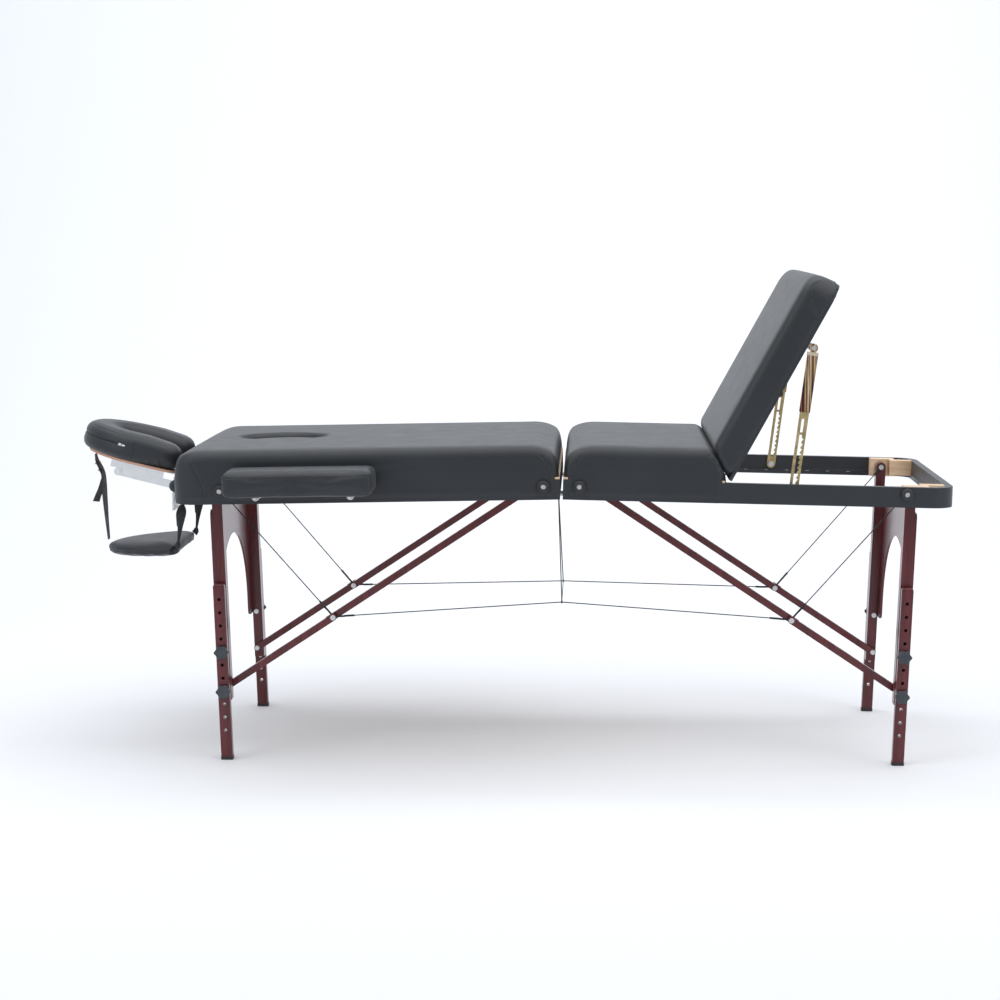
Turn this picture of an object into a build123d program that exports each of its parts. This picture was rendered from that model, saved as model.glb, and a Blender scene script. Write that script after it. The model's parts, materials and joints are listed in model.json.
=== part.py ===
from build123d import *
import math
import os

# Portable three-section massage table on folding wooden legs, in millimetres.
# +X runs from the head end to the foot end, +Z is up, and Y=0 is the middle of the width.
# The origin is on the floor, under the middle of the overall length.
# Each folding half is drawn on its own side of the centre hinge: u is the distance out from
# the hinge and w the height above the underside of the rails. The head half is the mirror image.

# overall
HALF_LENGTH = 925.0
CRADLE_REACH = 1209.8
FOOT_REACH = 932.7
HINGE_X = (CRADLE_REACH - FOOT_REACH) / 2
RAIL_UNDERSIDE_Z = 643.0
HALF_TILT = 1.1

# rails, boards and pads of a half
HALF_GAP = 3.0
HALF_WIDTH = 350.0
RAIL_THICK = 18.0
RAIL_HEIGHT = 48.0
CORNER_RADIUS = 57.0
DECK_THICK = 5.0
PAD_TOP = 127.0
PAD_ROUND = 26.0
SEAT_END = 390.0
SEAT_TOP_END = 355.0
FACE_HOLE_U = 700.0
FACE_HOLE_LENGTH = 206.0
FACE_HOLE_WIDTH = 150.0
PLUG_GAP = 3.0

# centre hinges
AXIS_DROP = 2.5
BARREL_DIAMETER = 6.0
PIN_DIAMETER = 3.0
LEAF_THICK = 2.0
HINGE_HALF_LENGTH = 32.0
HINGE_Y = 205.0

# legs, measured along the leg from the floor
LEG_LEAN = 2.0
FOOT_U = 808.0
FOOT_HEIGHT = 8.0
EXTENSION_WIDTH = 28.0
EXTENSION_INNER_Y = 295.0
EXTENSION_THICK = 21.5
EXTENSION_TOP = 432.0
POST_FRONT = -15.0
POST_BACK = 9.5
POST_INNER_Y = 263.0
POST_OUTER_Y = 294.5
POST_BOTTOM = 143.0
PANEL_BACK = 15.0
PANEL_TOP = 607.0
PANEL_FOOT = 263.0
ARCH_TOP = 512.0
ARCH_SPRING = 318.0
ARCH_HALF_WIDTH = 216.0
LEG_PIVOT_ALONG = 657.4
HOLE_PITCH = 32.0
HOLE_COUNT = 11
FIRST_HOLE = 73.0
HOLE_DIAMETER = 8.0
LOWER_BOLT = 169.0
UPPER_BOLT = 265.0
BOLT_DIAMETER = 6.0
KNOB_DIAMETER = 35.0
KNOB_THICK = 12.5
KNOB_LOBES = 6

# folding struts
STRUT_WIDTH = 16.5
LOWER_STRUT_Y = (246.5, 259.5)
UPPER_STRUT_Y = (230.5, 243.5)
STRUT_TOP_U = 62.0
STRUT_TOP_W = 24.0

# cables
CABLE_DIAMETER = 2.6
EYE_DIAMETER = 15.0
EYE_THICK = 1.3
EYE_NECK = 27.0
FERRULE_DIAMETER = 5.0
FERRULE_LENGTH = 26.0
CABLE_MIDDLE_Y = 166.0
CABLE_MIDDLE_Z = 367.0
DROP_ANCHOR_U = 12.0

# backrest and its ratchet stays
BACK_HINGE_U = 399.0
BACK_HINGE_W = 51.0
BACK_ANGLE = 62.5
BACK_HINGE_Y = 150.0
BACK_LENGTH = 525.0
BACK_BOARD_THICK = 8.0
BACK_PAD_THICK = 70.0
BACK_START = 1.5
BACK_SLOPE = 52.0
STAY_Y = (324.5, 327.0)
STAY_FOOT_U = 546.0
STAY_FOOT_W = 26.5
STAY_HEAD_ALONG = 366.5
STAY_HEAD_BEHIND = 16.0
STAY_PLATE_LENGTH = 206.0
STAY_PLATE_WIDTH = 22.0
CHANNEL_LENGTH = 152.0
TOOTH_COUNT = 9
TOOTH_PITCH = 12.0

# face cradle, u and z from the hinge and the floor
CRADLE_KNOB = (957.0, 645.0)
CRADLE_FRONT_BOLT = (1101.0, 680.0)
CRADLE_ARM_Y = 112.0
CRADLE_PLATE_OUT = 4.0
CRADLE_POST_Y = 95.0
CRADLE_POST_Z = 656.0
CRADLE_SLOPE = 13.2
PLATFORM_START = (962.0, 675.0)
PLATFORM_THICK = 6.0
CUSHION_THICK = 70.0
CUSHION_HALF_WIDTH = 144.0
CUSHION_BAND = 88.0
CUSHION_START = -8.0
CUSHION_LENGTH = 264.0
SLING_BAR = (943.0, 604.0)
SLING_REAR = (947.0, 492.0)
SLING_FRONT = (1158.0, 480.0)
SLING_HALF_WIDTH = 150.0

# bumpers, armrests and handles
BUMPER_SPOTS = (42.0, 811.0)
BUMPER_DIAMETER = 30.0
BUMPER_W = 31.0
ARMREST_SPAN = (433.0, 787.0)
ARMREST_REACH = (356.0, 492.0)
ARMREST_W = (31.0, 90.0)
ROD_SPOTS = (490.0, 712.0)


# ---- small helpers ----

def block(x_range, y_range, z_range):
    """Return a box between the given limits."""
    size = [high - low for low, high in (x_range, y_range, z_range)]
    middle = [(low + high) / 2 for low, high in (x_range, y_range, z_range)]
    return Pos(*middle) * Box(*size)


def rod_y(x, z, y_range, diameter):
    """Return a round rod that lies along Y."""
    low, high = sorted(y_range)
    return Pos(x, (low + high) / 2, z) * Rot(90, 0, 0) * Cylinder(diameter / 2, high - low)


def rod_between(start, end, diameter):
    """Return a straight round rod between two points."""
    start, end = Vector(*start), Vector(*end)
    plane = Plane(origin=start, z_dir=end - start)
    return extrude(plane * Circle(diameter / 2), (end - start).length)


def tube_along(points, diameter):
    """Return a tube that runs smoothly through the points."""
    path = Edge.make_spline([Vector(*p) for p in points])
    plane = Plane(origin=path @ 0, z_dir=path % 0)
    return sweep(plane * Circle(diameter / 2), path=Wire([path]))


def flat_bar(start, end, width, y_range, hole=0.0):
    """Return a bar with round ends between two pivots (x, z), with a pivot hole at each end."""
    length = math.dist(start, end)
    outline = Pos(length / 2, 0) * SlotCenterToCenter(length, width)
    if hole:
        outline -= Circle(hole / 2)
        outline -= Pos(length, 0) * Circle(hole / 2)
    angle = math.degrees(math.atan2(end[1] - start[1], end[0] - start[0]))
    low, high = sorted(y_range)
    bar = Rot(90, 0, 0) * extrude(outline, high - low)
    return Pos(start[0], high, start[1]) * Rot(0, -angle, 0) * bar


def profile_xz(points, y_range):
    """Return a solid with a straight-sided outline in X and Z, between two Y limits."""
    low, high = sorted(y_range)
    outline = Polyline([(x, z) for x, z in points], close=True)
    solid = extrude(make_face(outline), high - low)
    return Pos(0, high, 0) * Rot(90, 0, 0) * solid


def both_sides(shapes):
    """Return the shapes with their mirror images across Y=0."""
    return shapes + [mirror(shape, about=Plane.XZ) for shape in shapes]


def on_board(shapes):
    """Tilt shapes drawn in u and w into place about the centre hinge."""
    place = Pos(0, 0, RAIL_UNDERSIDE_Z - AXIS_DROP) * Rot(0, HALF_TILT, 0) * Pos(0, 0, AXIS_DROP)
    return [place * shape for shape in shapes]


def board_point(u, w):
    """Return the (u, z) place of a point given in u and w."""
    angle = math.radians(HALF_TILT)
    lift = w + AXIS_DROP
    z = RAIL_UNDERSIDE_Z - AXIS_DROP - u * math.sin(angle) + lift * math.cos(angle)
    return u * math.cos(angle) + lift * math.sin(angle), z


def board_place(point):
    """Return the u and w of a point (u, z) of the tilted half."""
    angle = math.radians(HALF_TILT)
    rise = point[1] - RAIL_UNDERSIDE_Z + AXIS_DROP
    u = point[0] * math.cos(angle) - rise * math.sin(angle)
    return u, point[0] * math.sin(angle) + rise * math.cos(angle) - AXIS_DROP


def on_leg(shapes):
    """Lean shapes drawn along an upright leg into place."""
    return [Pos(FOOT_U, 0, 0) * Rot(0, LEG_LEAN, 0) * shape for shape in shapes]


def leg_point(x, along):
    """Return the (u, z) place of a point of the leaning leg."""
    lean = math.radians(LEG_LEAN)
    u = FOOT_U + x * math.cos(lean) + along * math.sin(lean)
    return u, along * math.cos(lean) - x * math.sin(lean)


def foot_side(shapes):
    """Move shapes from the hinge to the foot half."""
    return [Pos(HINGE_X, 0, 0) * shape for shape in shapes]


def head_side(shapes):
    """Mirror shapes from the hinge to the head half."""
    return [Pos(HINGE_X, 0, 0) * mirror(shape, about=Plane.YZ) for shape in shapes]


def write(name, shapes):
    """Write one sub-part, which may hold several separate solids."""
    solids = [solid for shape in shapes for solid in shape.solids()]
    node = solids[0] if len(solids) == 1 else Compound(children=solids)
    node.label = name
    export_step(node, f"parts/{name}.step")


# ---- places worked out from the dimensions ----

POST_MIDDLE = (POST_FRONT + POST_BACK) / 2
LEG_PIVOT = leg_point(POST_MIDDLE, LEG_PIVOT_ALONG)
STRUT_FOOT = leg_point(0, LOWER_BOLT)
STRUT_TOP = board_point(STRUT_TOP_U, STRUT_TOP_W)


def strut_middle():
    """Return the middle pivot that lets the straight pair of struts fold flat."""
    span = math.dist(STRUT_FOOT, STRUT_TOP)
    across = math.dist(LEG_PIVOT, STRUT_TOP)
    along = math.dist(LEG_PIVOT, STRUT_FOOT)
    share = (span - across + along) / 2 / span
    return tuple(a + (b - a) * share for a, b in zip(STRUT_FOOT, STRUT_TOP))


STRUT_MIDDLE = strut_middle()


# ---- frame and boards ----

def rounded_plan(u_range, half_width, radius, w_range):
    """Return a slab whose two far corners are round in plan."""
    slab = block(u_range, (-half_width, half_width), w_range)
    corners = slab.edges().filter_by(Axis.Z).sort_by(Axis.X)[-2:]
    return fillet(corners, radius)


def frame_rails():
    """Return the side rails, the hinge rail and the end rail with its round corners."""
    inner_width = HALF_WIDTH - RAIL_THICK
    height = (0, RAIL_HEIGHT)
    ring = rounded_plan((HALF_GAP, HALF_LENGTH), HALF_WIDTH, CORNER_RADIUS, height)
    inside = (HALF_GAP + RAIL_THICK, HALF_LENGTH - RAIL_THICK)
    ring -= rounded_plan(inside, inner_width, CORNER_RADIUS - RAIL_THICK, (-1, RAIL_HEIGHT + 1))
    bounds = (HALF_GAP, inside[0], HALF_LENGTH - CORNER_RADIUS, HALF_LENGTH)
    wide = (-HALF_WIDTH, HALF_WIDTH)
    pieces = []
    for low, high in zip(bounds, bounds[1:]):
        pieces += (ring & block((low, high), wide, height)).solids()
    return pieces


def drill_rails(rails, spots, w, diameter):
    """Drill holes along Y through both side rails."""
    for u in spots:
        drill = rod_y(u, w, (-HALF_WIDTH - 1, HALF_WIDTH + 1), diameter)
        rails = [rail - drill for rail in rails]
    return rails


def corner_blocks():
    """Return the leg blocks at the free end and the strut blocks behind the hinge rail."""
    inner = HALF_WIDTH - RAIL_THICK
    u, w = board_place(LEG_PIVOT)
    leg_block = block((804, 866), (EXTENSION_INNER_Y + 1, inner), (3, RAIL_HEIGHT))
    leg_block -= rod_y(u, w, (0, HALF_WIDTH), BOLT_DIAMETER + 0.4)
    step_end = HALF_LENGTH - RAIL_THICK - 0.5
    step = block((850, step_end), (POST_INNER_Y, EXTENSION_INNER_Y), (9, RAIL_HEIGHT))
    strut_block = block((HALF_GAP + RAIL_THICK, 82), (244.2, 289), (6, RAIL_HEIGHT))
    strut_block -= rod_y(STRUT_TOP_U, STRUT_TOP_W, (0, HALF_WIDTH), BOLT_DIAMETER + 0.4)
    return both_sides([leg_block, step, strut_block])


def crowned(slab, radius, top):
    """Round the top edge of a pad all the way round."""
    edges = slab.edges().filter_by(lambda edge: edge.bounding_box().min.Z > top - 0.1)
    return fillet(edges, radius)


def head_deck():
    """Return the plywood deck of the head half, with the face hole."""
    layer = (RAIL_HEIGHT, RAIL_HEIGHT + DECK_THICK)
    deck = rounded_plan((HALF_GAP, HALF_LENGTH - 2), HALF_WIDTH - 2, CORNER_RADIUS - 2, layer)
    hole = Ellipse(FACE_HOLE_LENGTH / 2, FACE_HOLE_WIDTH / 2)
    return deck - Pos(FACE_HOLE_U, 0, RAIL_HEIGHT - 1) * extrude(hole, DECK_THICK + 2)


def head_pad():
    """Return the head pad, with rounded top edges and the face hole."""
    layer = (RAIL_HEIGHT + DECK_THICK, PAD_TOP)
    pad = rounded_plan((HALF_GAP, HALF_LENGTH), HALF_WIDTH, CORNER_RADIUS, layer)
    pad = crowned(pad, PAD_ROUND, PAD_TOP)
    hole = Ellipse(FACE_HOLE_LENGTH / 2, FACE_HOLE_WIDTH / 2)
    return pad - Pos(FACE_HOLE_U, 0, RAIL_HEIGHT) * extrude(hole, PAD_TOP)


def face_hole_plug():
    """Return the padded plug that fills the face hole."""
    outline = Ellipse(FACE_HOLE_LENGTH / 2 - PLUG_GAP, FACE_HOLE_WIDTH / 2 - PLUG_GAP)
    plug = Pos(FACE_HOLE_U, 0, RAIL_HEIGHT + 1) * extrude(outline, PAD_TOP - RAIL_HEIGHT - 8)
    return fillet(plug.edges().group_by(Axis.Z)[-1], 10)


def seat_deck():
    """Return the plywood deck under the short seat."""
    wide = HALF_WIDTH - 2
    return block((HALF_GAP, SEAT_END - 6), (-wide, wide), (RAIL_HEIGHT, RAIL_HEIGHT + DECK_THICK))


def seat_pad():
    """Return the seat pad, cut back at the rear to let the backrest rise."""
    base = RAIL_HEIGHT + DECK_THICK
    outline = [
        (HALF_GAP, base), (SEAT_END, base), (SEAT_END, base + 3),
        (SEAT_TOP_END, PAD_TOP), (HALF_GAP, PAD_TOP),
    ]
    pad = profile_xz(outline, (-HALF_WIDTH, HALF_WIDTH))
    return crowned(pad, PAD_ROUND * 0.7, PAD_TOP)


def bumpers():
    """Return the rubber bumpers of the near side rail, each with its screw."""
    pieces = []
    for u in BUMPER_SPOTS:
        face = -HALF_WIDTH - 0.2
        disc = rod_y(u, BUMPER_W, (face - 11, face), BUMPER_DIAMETER)
        disc = chamfer(disc.edges().group_by(Axis.Y)[0], 3)
        disc -= rod_y(u, BUMPER_W, (face - 12, face - 5), 13)
        screw = rod_y(u, BUMPER_W, (face - 8, face - 5), 10)
        screw -= rod_y(u, BUMPER_W, (face - 9, face - 6.5), 4)
        pieces += [disc, screw]
    return pieces


def carry_handle():
    """Return the carrying handle on the far side rail, between two end plates."""
    u_range = (150.0, 300.0)
    side = HALF_WIDTH + 0.2
    grip = [
        (u_range[0], side + 5, 24), (u_range[0] + 22, side + 22, 24),
        (sum(u_range) / 2, side + 30, 24), (u_range[1] - 22, side + 22, 24),
        (u_range[1], side + 5, 24),
    ]
    pieces = [tube_along(grip, 11)]
    for u in u_range:
        pieces.append(block((u - 12, u + 12), (side, side + 3), (9, 39)))
        lug = block((u - 7, u + 7), (side + 3, side + 11), (16.5, 31.5))
        pieces.append(lug - pieces[0])
    return pieces


# ---- centre hinge ----

def hinge_leaf(knuckles):
    """Return one leaf of a butt hinge with its knuckles, at Y=0 on the hinge axis."""
    length = (-HINGE_HALF_LENGTH, HINGE_HALF_LENGTH)
    leaf = block((HALF_GAP + 0.4, HALF_GAP + RAIL_THICK - 1), length, (-LEAF_THICK, -0.05))
    for low, high in knuckles:
        barrel = rod_y(0, -AXIS_DROP, (low, high), BARREL_DIAMETER)
        arm = block((0, HALF_GAP + 2), (low, high), (-LEAF_THICK, -0.05))
        leaf += barrel + arm
    return leaf - rod_y(0, -AXIS_DROP, length, PIN_DIAMETER + 0.2)


def head_knuckles():
    """Return the two outer knuckles of the head leaf."""
    return [(-HINGE_HALF_LENGTH, -11.0), (11.0, HINGE_HALF_LENGTH)]


def centre_hinge_pins():
    """Return the two pins of the centre hinges, with their heads."""
    z = RAIL_UNDERSIDE_Z - AXIS_DROP
    pins = []
    for side in (-1, 1):
        middle = side * HINGE_Y
        ends = (middle - HINGE_HALF_LENGTH - 1, middle + HINGE_HALF_LENGTH + 1)
        pin = rod_y(0, z, ends, PIN_DIAMETER)
        pin += rod_y(0, z, (ends[0] - 1, ends[0] + 0.7), PIN_DIAMETER + 2)
        pin += rod_y(0, z, (ends[1] - 0.7, ends[1] + 1), PIN_DIAMETER + 2)
        pins.append(pin)
    return pins


def pivot_bolts():
    """Return the bolts on which the legs and the upper struts turn."""
    u, w = board_place(LEG_PIVOT)
    rail = HALF_WIDTH - RAIL_THICK
    leg_bolt = rod_y(u, w, (POST_INNER_Y - 2, rail - 2), BOLT_DIAMETER)
    leg_bolt += rod_y(u, w, (POST_INNER_Y - 4.6, POST_INNER_Y - 1.8), 13)
    strut_bolt = rod_y(STRUT_TOP_U, STRUT_TOP_W, (UPPER_STRUT_Y[0] - 1, 280), BOLT_DIAMETER)
    strut_bolt += rod_y(STRUT_TOP_U, STRUT_TOP_W, (UPPER_STRUT_Y[0] - 3.5, UPPER_STRUT_Y[0] - 0.3), 13)
    return both_sides([leg_bolt, strut_bolt])


def head_hardware():
    """Return the head half's hinge leaves, pivot bolts and cable anchor."""
    leaf = hinge_leaf(head_knuckles())
    pieces = [Pos(0, side * HINGE_Y, 0) * leaf for side in (-1, 1)]
    pieces += pivot_bolts()
    anchor = Pos(DROP_ANCHOR_U, 0, -1.55) * Cylinder(6, 3)
    return pieces + [anchor]


def foot_hardware():
    """Return the foot half's hinge leaves, pivot bolts, stay bolts and end stop."""
    leaf = hinge_leaf([(-10.7, 10.7)])
    pieces = [Pos(0, side * HINGE_Y, 0) * leaf for side in (-1, 1)]
    pieces += pivot_bolts()
    pieces += [Pos(0, side * BACK_HINGE_Y, 0) * seat_hinge_leaf() for side in (-1, 1)]
    face = HALF_WIDTH - RAIL_THICK - 0.05
    bolt = rod_y(STAY_FOOT_U, STAY_FOOT_W, (STAY_Y[0] - 1, face), BOLT_DIAMETER)
    bolt += rod_y(STAY_FOOT_U, STAY_FOOT_W, (STAY_Y[0] - 4, STAY_Y[0] - 0.4), 14)
    bolt += rod_y(STAY_FOOT_U, STAY_FOOT_W, (STAY_Y[1] + 0.4, face), 12)
    pieces += both_sides([bolt])
    stop = Pos(HALF_LENGTH + 3.6, 0, 31) * Rot(0, 90, 0) * Cylinder(7, 7)
    return pieces + [stop]


# ---- legs ----

def leg_posts():
    """Return the two fixed upper posts of one pair of legs."""
    y_range = (POST_INNER_Y, POST_OUTER_Y)
    radius = (POST_BACK - POST_FRONT) / 2
    post = block((POST_FRONT, POST_BACK), y_range, (POST_BOTTOM, LEG_PIVOT_ALONG))
    post += rod_y(POST_MIDDLE, LEG_PIVOT_ALONG, y_range, 2 * radius)
    for along in (LOWER_BOLT, UPPER_BOLT):
        post -= rod_y(0, along, (0, HALF_WIDTH), BOLT_DIAMETER + 0.4)
    post -= rod_y(POST_MIDDLE, LEG_PIVOT_ALONG, (0, HALF_WIDTH), BOLT_DIAMETER + 0.4)
    return both_sides([post])


def leg_panel():
    """Return the arched plywood panel that joins a pair of posts."""
    thick = PANEL_BACK - POST_BACK - 0.1
    outline = Pos(0, (PANEL_TOP + PANEL_FOOT) / 2) * RectangleRounded(
        2 * POST_OUTER_Y, PANEL_TOP - PANEL_FOOT, 14)
    arch = Pos(0, ARCH_SPRING) * Ellipse(ARCH_HALF_WIDTH, ARCH_TOP - ARCH_SPRING)
    mouth = Pos(0, (PANEL_FOOT - 20 + ARCH_SPRING) / 2) * Rectangle(
        2 * ARCH_HALF_WIDTH, ARCH_SPRING - PANEL_FOOT + 20)
    panel = extrude(outline - arch - mouth, thick)
    foot_edges = [
        edge for edge in panel.edges().filter_by(Axis.Z)
        if edge.center().Y < PANEL_FOOT + 1 and abs(edge.center().X) < ARCH_HALF_WIDTH + 1
    ]
    panel = fillet(foot_edges, 16)
    return Pos(POST_BACK + 0.1, 0, 0) * Rot(90, 90, 0) * panel


def leg_extension():
    """Return one sliding leg extension with its row of holes, on the +Y side."""
    half = EXTENSION_WIDTH / 2
    y_range = (EXTENSION_INNER_Y, EXTENSION_INNER_Y + EXTENSION_THICK)
    stick = block((-half, half), y_range, (0, EXTENSION_TOP))
    stick = fillet(stick.edges().filter_by(Axis.Z), 2.5)
    top_edge = stick.edges().group_by(Axis.Z)[-1].filter_by(Axis.X).sort_by(Axis.Y)[-1]
    stick = fillet(top_edge, 9)
    for number in range(HOLE_COUNT):
        along = FIRST_HOLE + number * HOLE_PITCH
        stick -= rod_y(0, along, (EXTENSION_INNER_Y - 1, HALF_WIDTH), HOLE_DIAMETER)
    placed = on_leg([stick])[0]
    floor_cut = block((FOOT_U - 60, FOOT_U + 60), (200, 400), (-40, FOOT_HEIGHT))
    return placed - floor_cut


def rubber_foot():
    """Return the rubber foot under one extension, flat on the floor."""
    half = EXTENSION_WIDTH / 2 + 0.6
    middle = FOOT_U + FOOT_HEIGHT * math.tan(math.radians(LEG_LEAN)) / 2
    y_range = (EXTENSION_INNER_Y - 0.4, EXTENSION_INNER_Y + EXTENSION_THICK + 0.6)
    foot = block((middle - half, middle + half), y_range, (0, FOOT_HEIGHT))
    return fillet(foot.edges().filter_by(Axis.Z), 3)


def star_knob(along, through_strut):
    """Return a star knob with its bolt and inner nut, on the +Y side of an upright leg."""
    face = EXTENSION_INNER_Y + EXTENSION_THICK
    outline = Circle(KNOB_DIAMETER / 2 - 2.6)
    for number in range(KNOB_LOBES):
        angle = 360 / KNOB_LOBES * number
        outline += Rot(0, 0, angle) * Pos(KNOB_DIAMETER / 2 - 5.2, 0) * Circle(5.2)
    knob = extrude(outline, KNOB_THICK - 1.6)
    knob = chamfer(knob.edges().group_by(Axis.Z)[-1], 1.2)
    knob = Pos(0, face + 1.6, along) * Rot(-90, 0, 0) * knob
    washer = rod_y(0, along, (face + 0.2, face + 1.55), 19)
    inner = LOWER_STRUT_Y[0] if through_strut else POST_INNER_Y
    washer -= rod_y(0, along, (face, face + 2), BOLT_DIAMETER)
    bolt = rod_y(0, along, (inner - 0.2, face + 1.6), BOLT_DIAMETER)
    head = rod_y(0, along, (inner - 2.7, inner - 0.2), 12.5)
    return [knob, washer, bolt + head]


# ---- struts ----

def lower_struts():
    """Return the lower struts of one leg pair, with spacers, outer bolt heads and stop plates."""
    hole = BOLT_DIAMETER + 0.4
    strut = flat_bar(STRUT_FOOT, STRUT_MIDDLE, STRUT_WIDTH, LOWER_STRUT_Y, hole)
    spacer = rod_y(*STRUT_FOOT, (LOWER_STRUT_Y[1] + 0.1, POST_INNER_Y - 0.3), 14)
    spacer -= rod_y(*STRUT_FOOT, (0, HALF_WIDTH), hole)
    bolt = rod_y(*STRUT_MIDDLE, (LOWER_STRUT_Y[0] + 1, LOWER_STRUT_Y[1] + 0.1), BOLT_DIAMETER)
    bolt += rod_y(*STRUT_MIDDLE, (LOWER_STRUT_Y[1] + 0.1, LOWER_STRUT_Y[1] + 2.6), 13)
    angle = math.degrees(math.atan2(
        STRUT_MIDDLE[1] - STRUT_FOOT[1], STRUT_MIDDLE[0] - STRUT_FOOT[0]))
    top = -STRUT_WIDTH / 2
    plate = block((-15, 9), (LOWER_STRUT_Y[0], LOWER_STRUT_Y[1]), (top - 1.6, top - 0.1))
    plate = Pos(STRUT_MIDDLE[0], 0, STRUT_MIDDLE[1]) * Rot(0, -angle, 0) * plate
    return both_sides([strut, spacer, bolt, plate])


def upper_struts():
    """Return the upper struts of one leg pair, with the inner heads of their middle bolts."""
    hole = BOLT_DIAMETER + 0.4
    strut = flat_bar(STRUT_MIDDLE, STRUT_TOP, STRUT_WIDTH, UPPER_STRUT_Y, hole)
    head = rod_y(*STRUT_MIDDLE, (UPPER_STRUT_Y[0] - 2.6, UPPER_STRUT_Y[0] - 0.1), 13)
    head += rod_y(*STRUT_MIDDLE, (UPPER_STRUT_Y[0] - 0.1, UPPER_STRUT_Y[1] - 1), BOLT_DIAMETER)
    return both_sides([strut, head])


# ---- cables ----

def cable_eye(pivot, y_low, toward, hole):
    """Return a cable eye on a pivot, with the neck that points toward another point."""
    y_range = (y_low, y_low + EYE_THICK)
    angle = math.degrees(math.atan2(toward[1] - pivot[1], toward[0] - pivot[0]))
    tongue = Pos(EYE_NECK / 2, 0) * Rectangle(EYE_NECK, 4.4)
    outline = Circle(EYE_DIAMETER / 2) + tongue - Circle(hole / 2)
    eye = Rot(90, 0, 0) * extrude(outline, EYE_THICK)
    return Pos(pivot[0], y_range[1], pivot[1]) * Rot(0, -angle, 0) * eye


def cable_span(start, end, start_trim, end_trim):
    """Return a cable between two points (x, y, z), with a ferrule at its start."""
    first, last = Vector(*start), Vector(*end)
    way = (last - first).normalized()
    a = first + way * start_trim
    b = last - way * end_trim
    span = rod_between(a, b, CABLE_DIAMETER)
    return span + rod_between(a, a + way * FERRULE_LENGTH, FERRULE_DIAMETER)


def end_cables():
    """Return the cables from the leg pivots to the middle pivots of the struts."""
    hole = BOLT_DIAMETER + 0.4
    y_top = POST_INNER_Y - 1.6
    y_low = LOWER_STRUT_Y[0] - EYE_THICK - 0.1
    top_eye = cable_eye(LEG_PIVOT, y_top, STRUT_MIDDLE, hole)
    low_eye = cable_eye(STRUT_MIDDLE, y_low, LEG_PIVOT, hole)
    low = (STRUT_MIDDLE[0], y_low + EYE_THICK / 2, STRUT_MIDDLE[1])
    high = (LEG_PIVOT[0], y_top + EYE_THICK / 2, LEG_PIVOT[1])
    span = cable_span(low, high, EYE_NECK - 2, EYE_NECK - 2)
    return both_sides([top_eye + span + low_eye])


def cross_cables():
    """Return the cables from the middle pivots of the struts to the middle of the table."""
    hole = BOLT_DIAMETER + 0.4
    y_low = UPPER_STRUT_Y[1] + 0.1
    middle = (0, CABLE_MIDDLE_Y, CABLE_MIDDLE_Z)
    toward = (0, CABLE_MIDDLE_Z)
    eye = cable_eye(STRUT_MIDDLE, y_low, toward, hole)
    start = (STRUT_MIDDLE[0], y_low + EYE_THICK / 2, STRUT_MIDDLE[1])
    return both_sides([eye + cable_span(start, middle, EYE_NECK - 2, 2.2)])


def drop_cables():
    """Return the cables that hold the middle of the cross cables under the centre hinge."""
    y, z = CABLE_MIDDLE_Y, CABLE_MIDDLE_Z
    anchor_u, anchor_z = board_point(DROP_ANCHOR_U, -4.4)
    cables = rod_between((0, -y, z), (0, y, z), CABLE_DIAMETER * 0.8)
    for side in (-1, 1):
        cables += rod_between((-anchor_u, 0, anchor_z), (0, side * y, z), CABLE_DIAMETER)
        cables += Pos(0, side * y, z) * Rot(0, 90, 0) * Cylinder(3.2, 4)
    return [cables]


# ---- backrest and stays, drawn flat on the frame: s along from the hinge, t above it ----

def raised(shapes):
    """Turn shapes drawn along the flat backrest into its raised place on the foot half."""
    turn = Pos(BACK_HINGE_U, 0, BACK_HINGE_W) * Rot(0, -BACK_ANGLE, 0)
    return on_board([turn * shape for shape in shapes])


def back_point(s, t):
    """Return the (u, z) place of a point of the raised backrest."""
    angle = math.radians(BACK_ANGLE)
    u = BACK_HINGE_U + s * math.cos(angle) - t * math.sin(angle)
    return board_point(u, BACK_HINGE_W + s * math.sin(angle) + t * math.cos(angle))


STAY_FOOT = board_point(STAY_FOOT_U, STAY_FOOT_W)
STAY_HEAD = back_point(STAY_HEAD_ALONG, -STAY_HEAD_BEHIND)
STAY_SPAN = math.dist(STAY_FOOT, STAY_HEAD)


def backrest_board():
    """Return the plywood board of the backrest."""
    board = block((BACK_START, BACK_LENGTH - 2), (-HALF_WIDTH + 2, HALF_WIDTH - 2), (0, BACK_BOARD_THICK))
    corners = board.edges().filter_by(Axis.Z).sort_by(Axis.X)[-2:]
    board = fillet(corners, CORNER_RADIUS - 2)
    for y in (-BACK_HINGE_Y, BACK_HINGE_Y):
        board -= block((BACK_START - 1, 6), (y - 14, y + 14), (-1, BACK_BOARD_THICK + 1))
    return raised([board])


def backrest_pad():
    """Return the backrest pad, cut back at its lower end and round at its upper corners."""
    base, top = BACK_BOARD_THICK, BACK_BOARD_THICK + BACK_PAD_THICK
    wide = (-HALF_WIDTH, HALF_WIDTH)
    pad = block((BACK_START, BACK_LENGTH), wide, (base, top))
    corners = pad.edges().filter_by(Axis.Z).sort_by(Axis.X)[-2:]
    pad = fillet(corners, CORNER_RADIUS)
    pad = crowned(pad, PAD_ROUND * 0.75, top)
    wedge = profile_xz([(-5, base - 1), (BACK_START - 0.9, base - 1), (BACK_SLOPE, top + 1), (-5, top + 1)], wide)
    return raised([pad - wedge])


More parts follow.
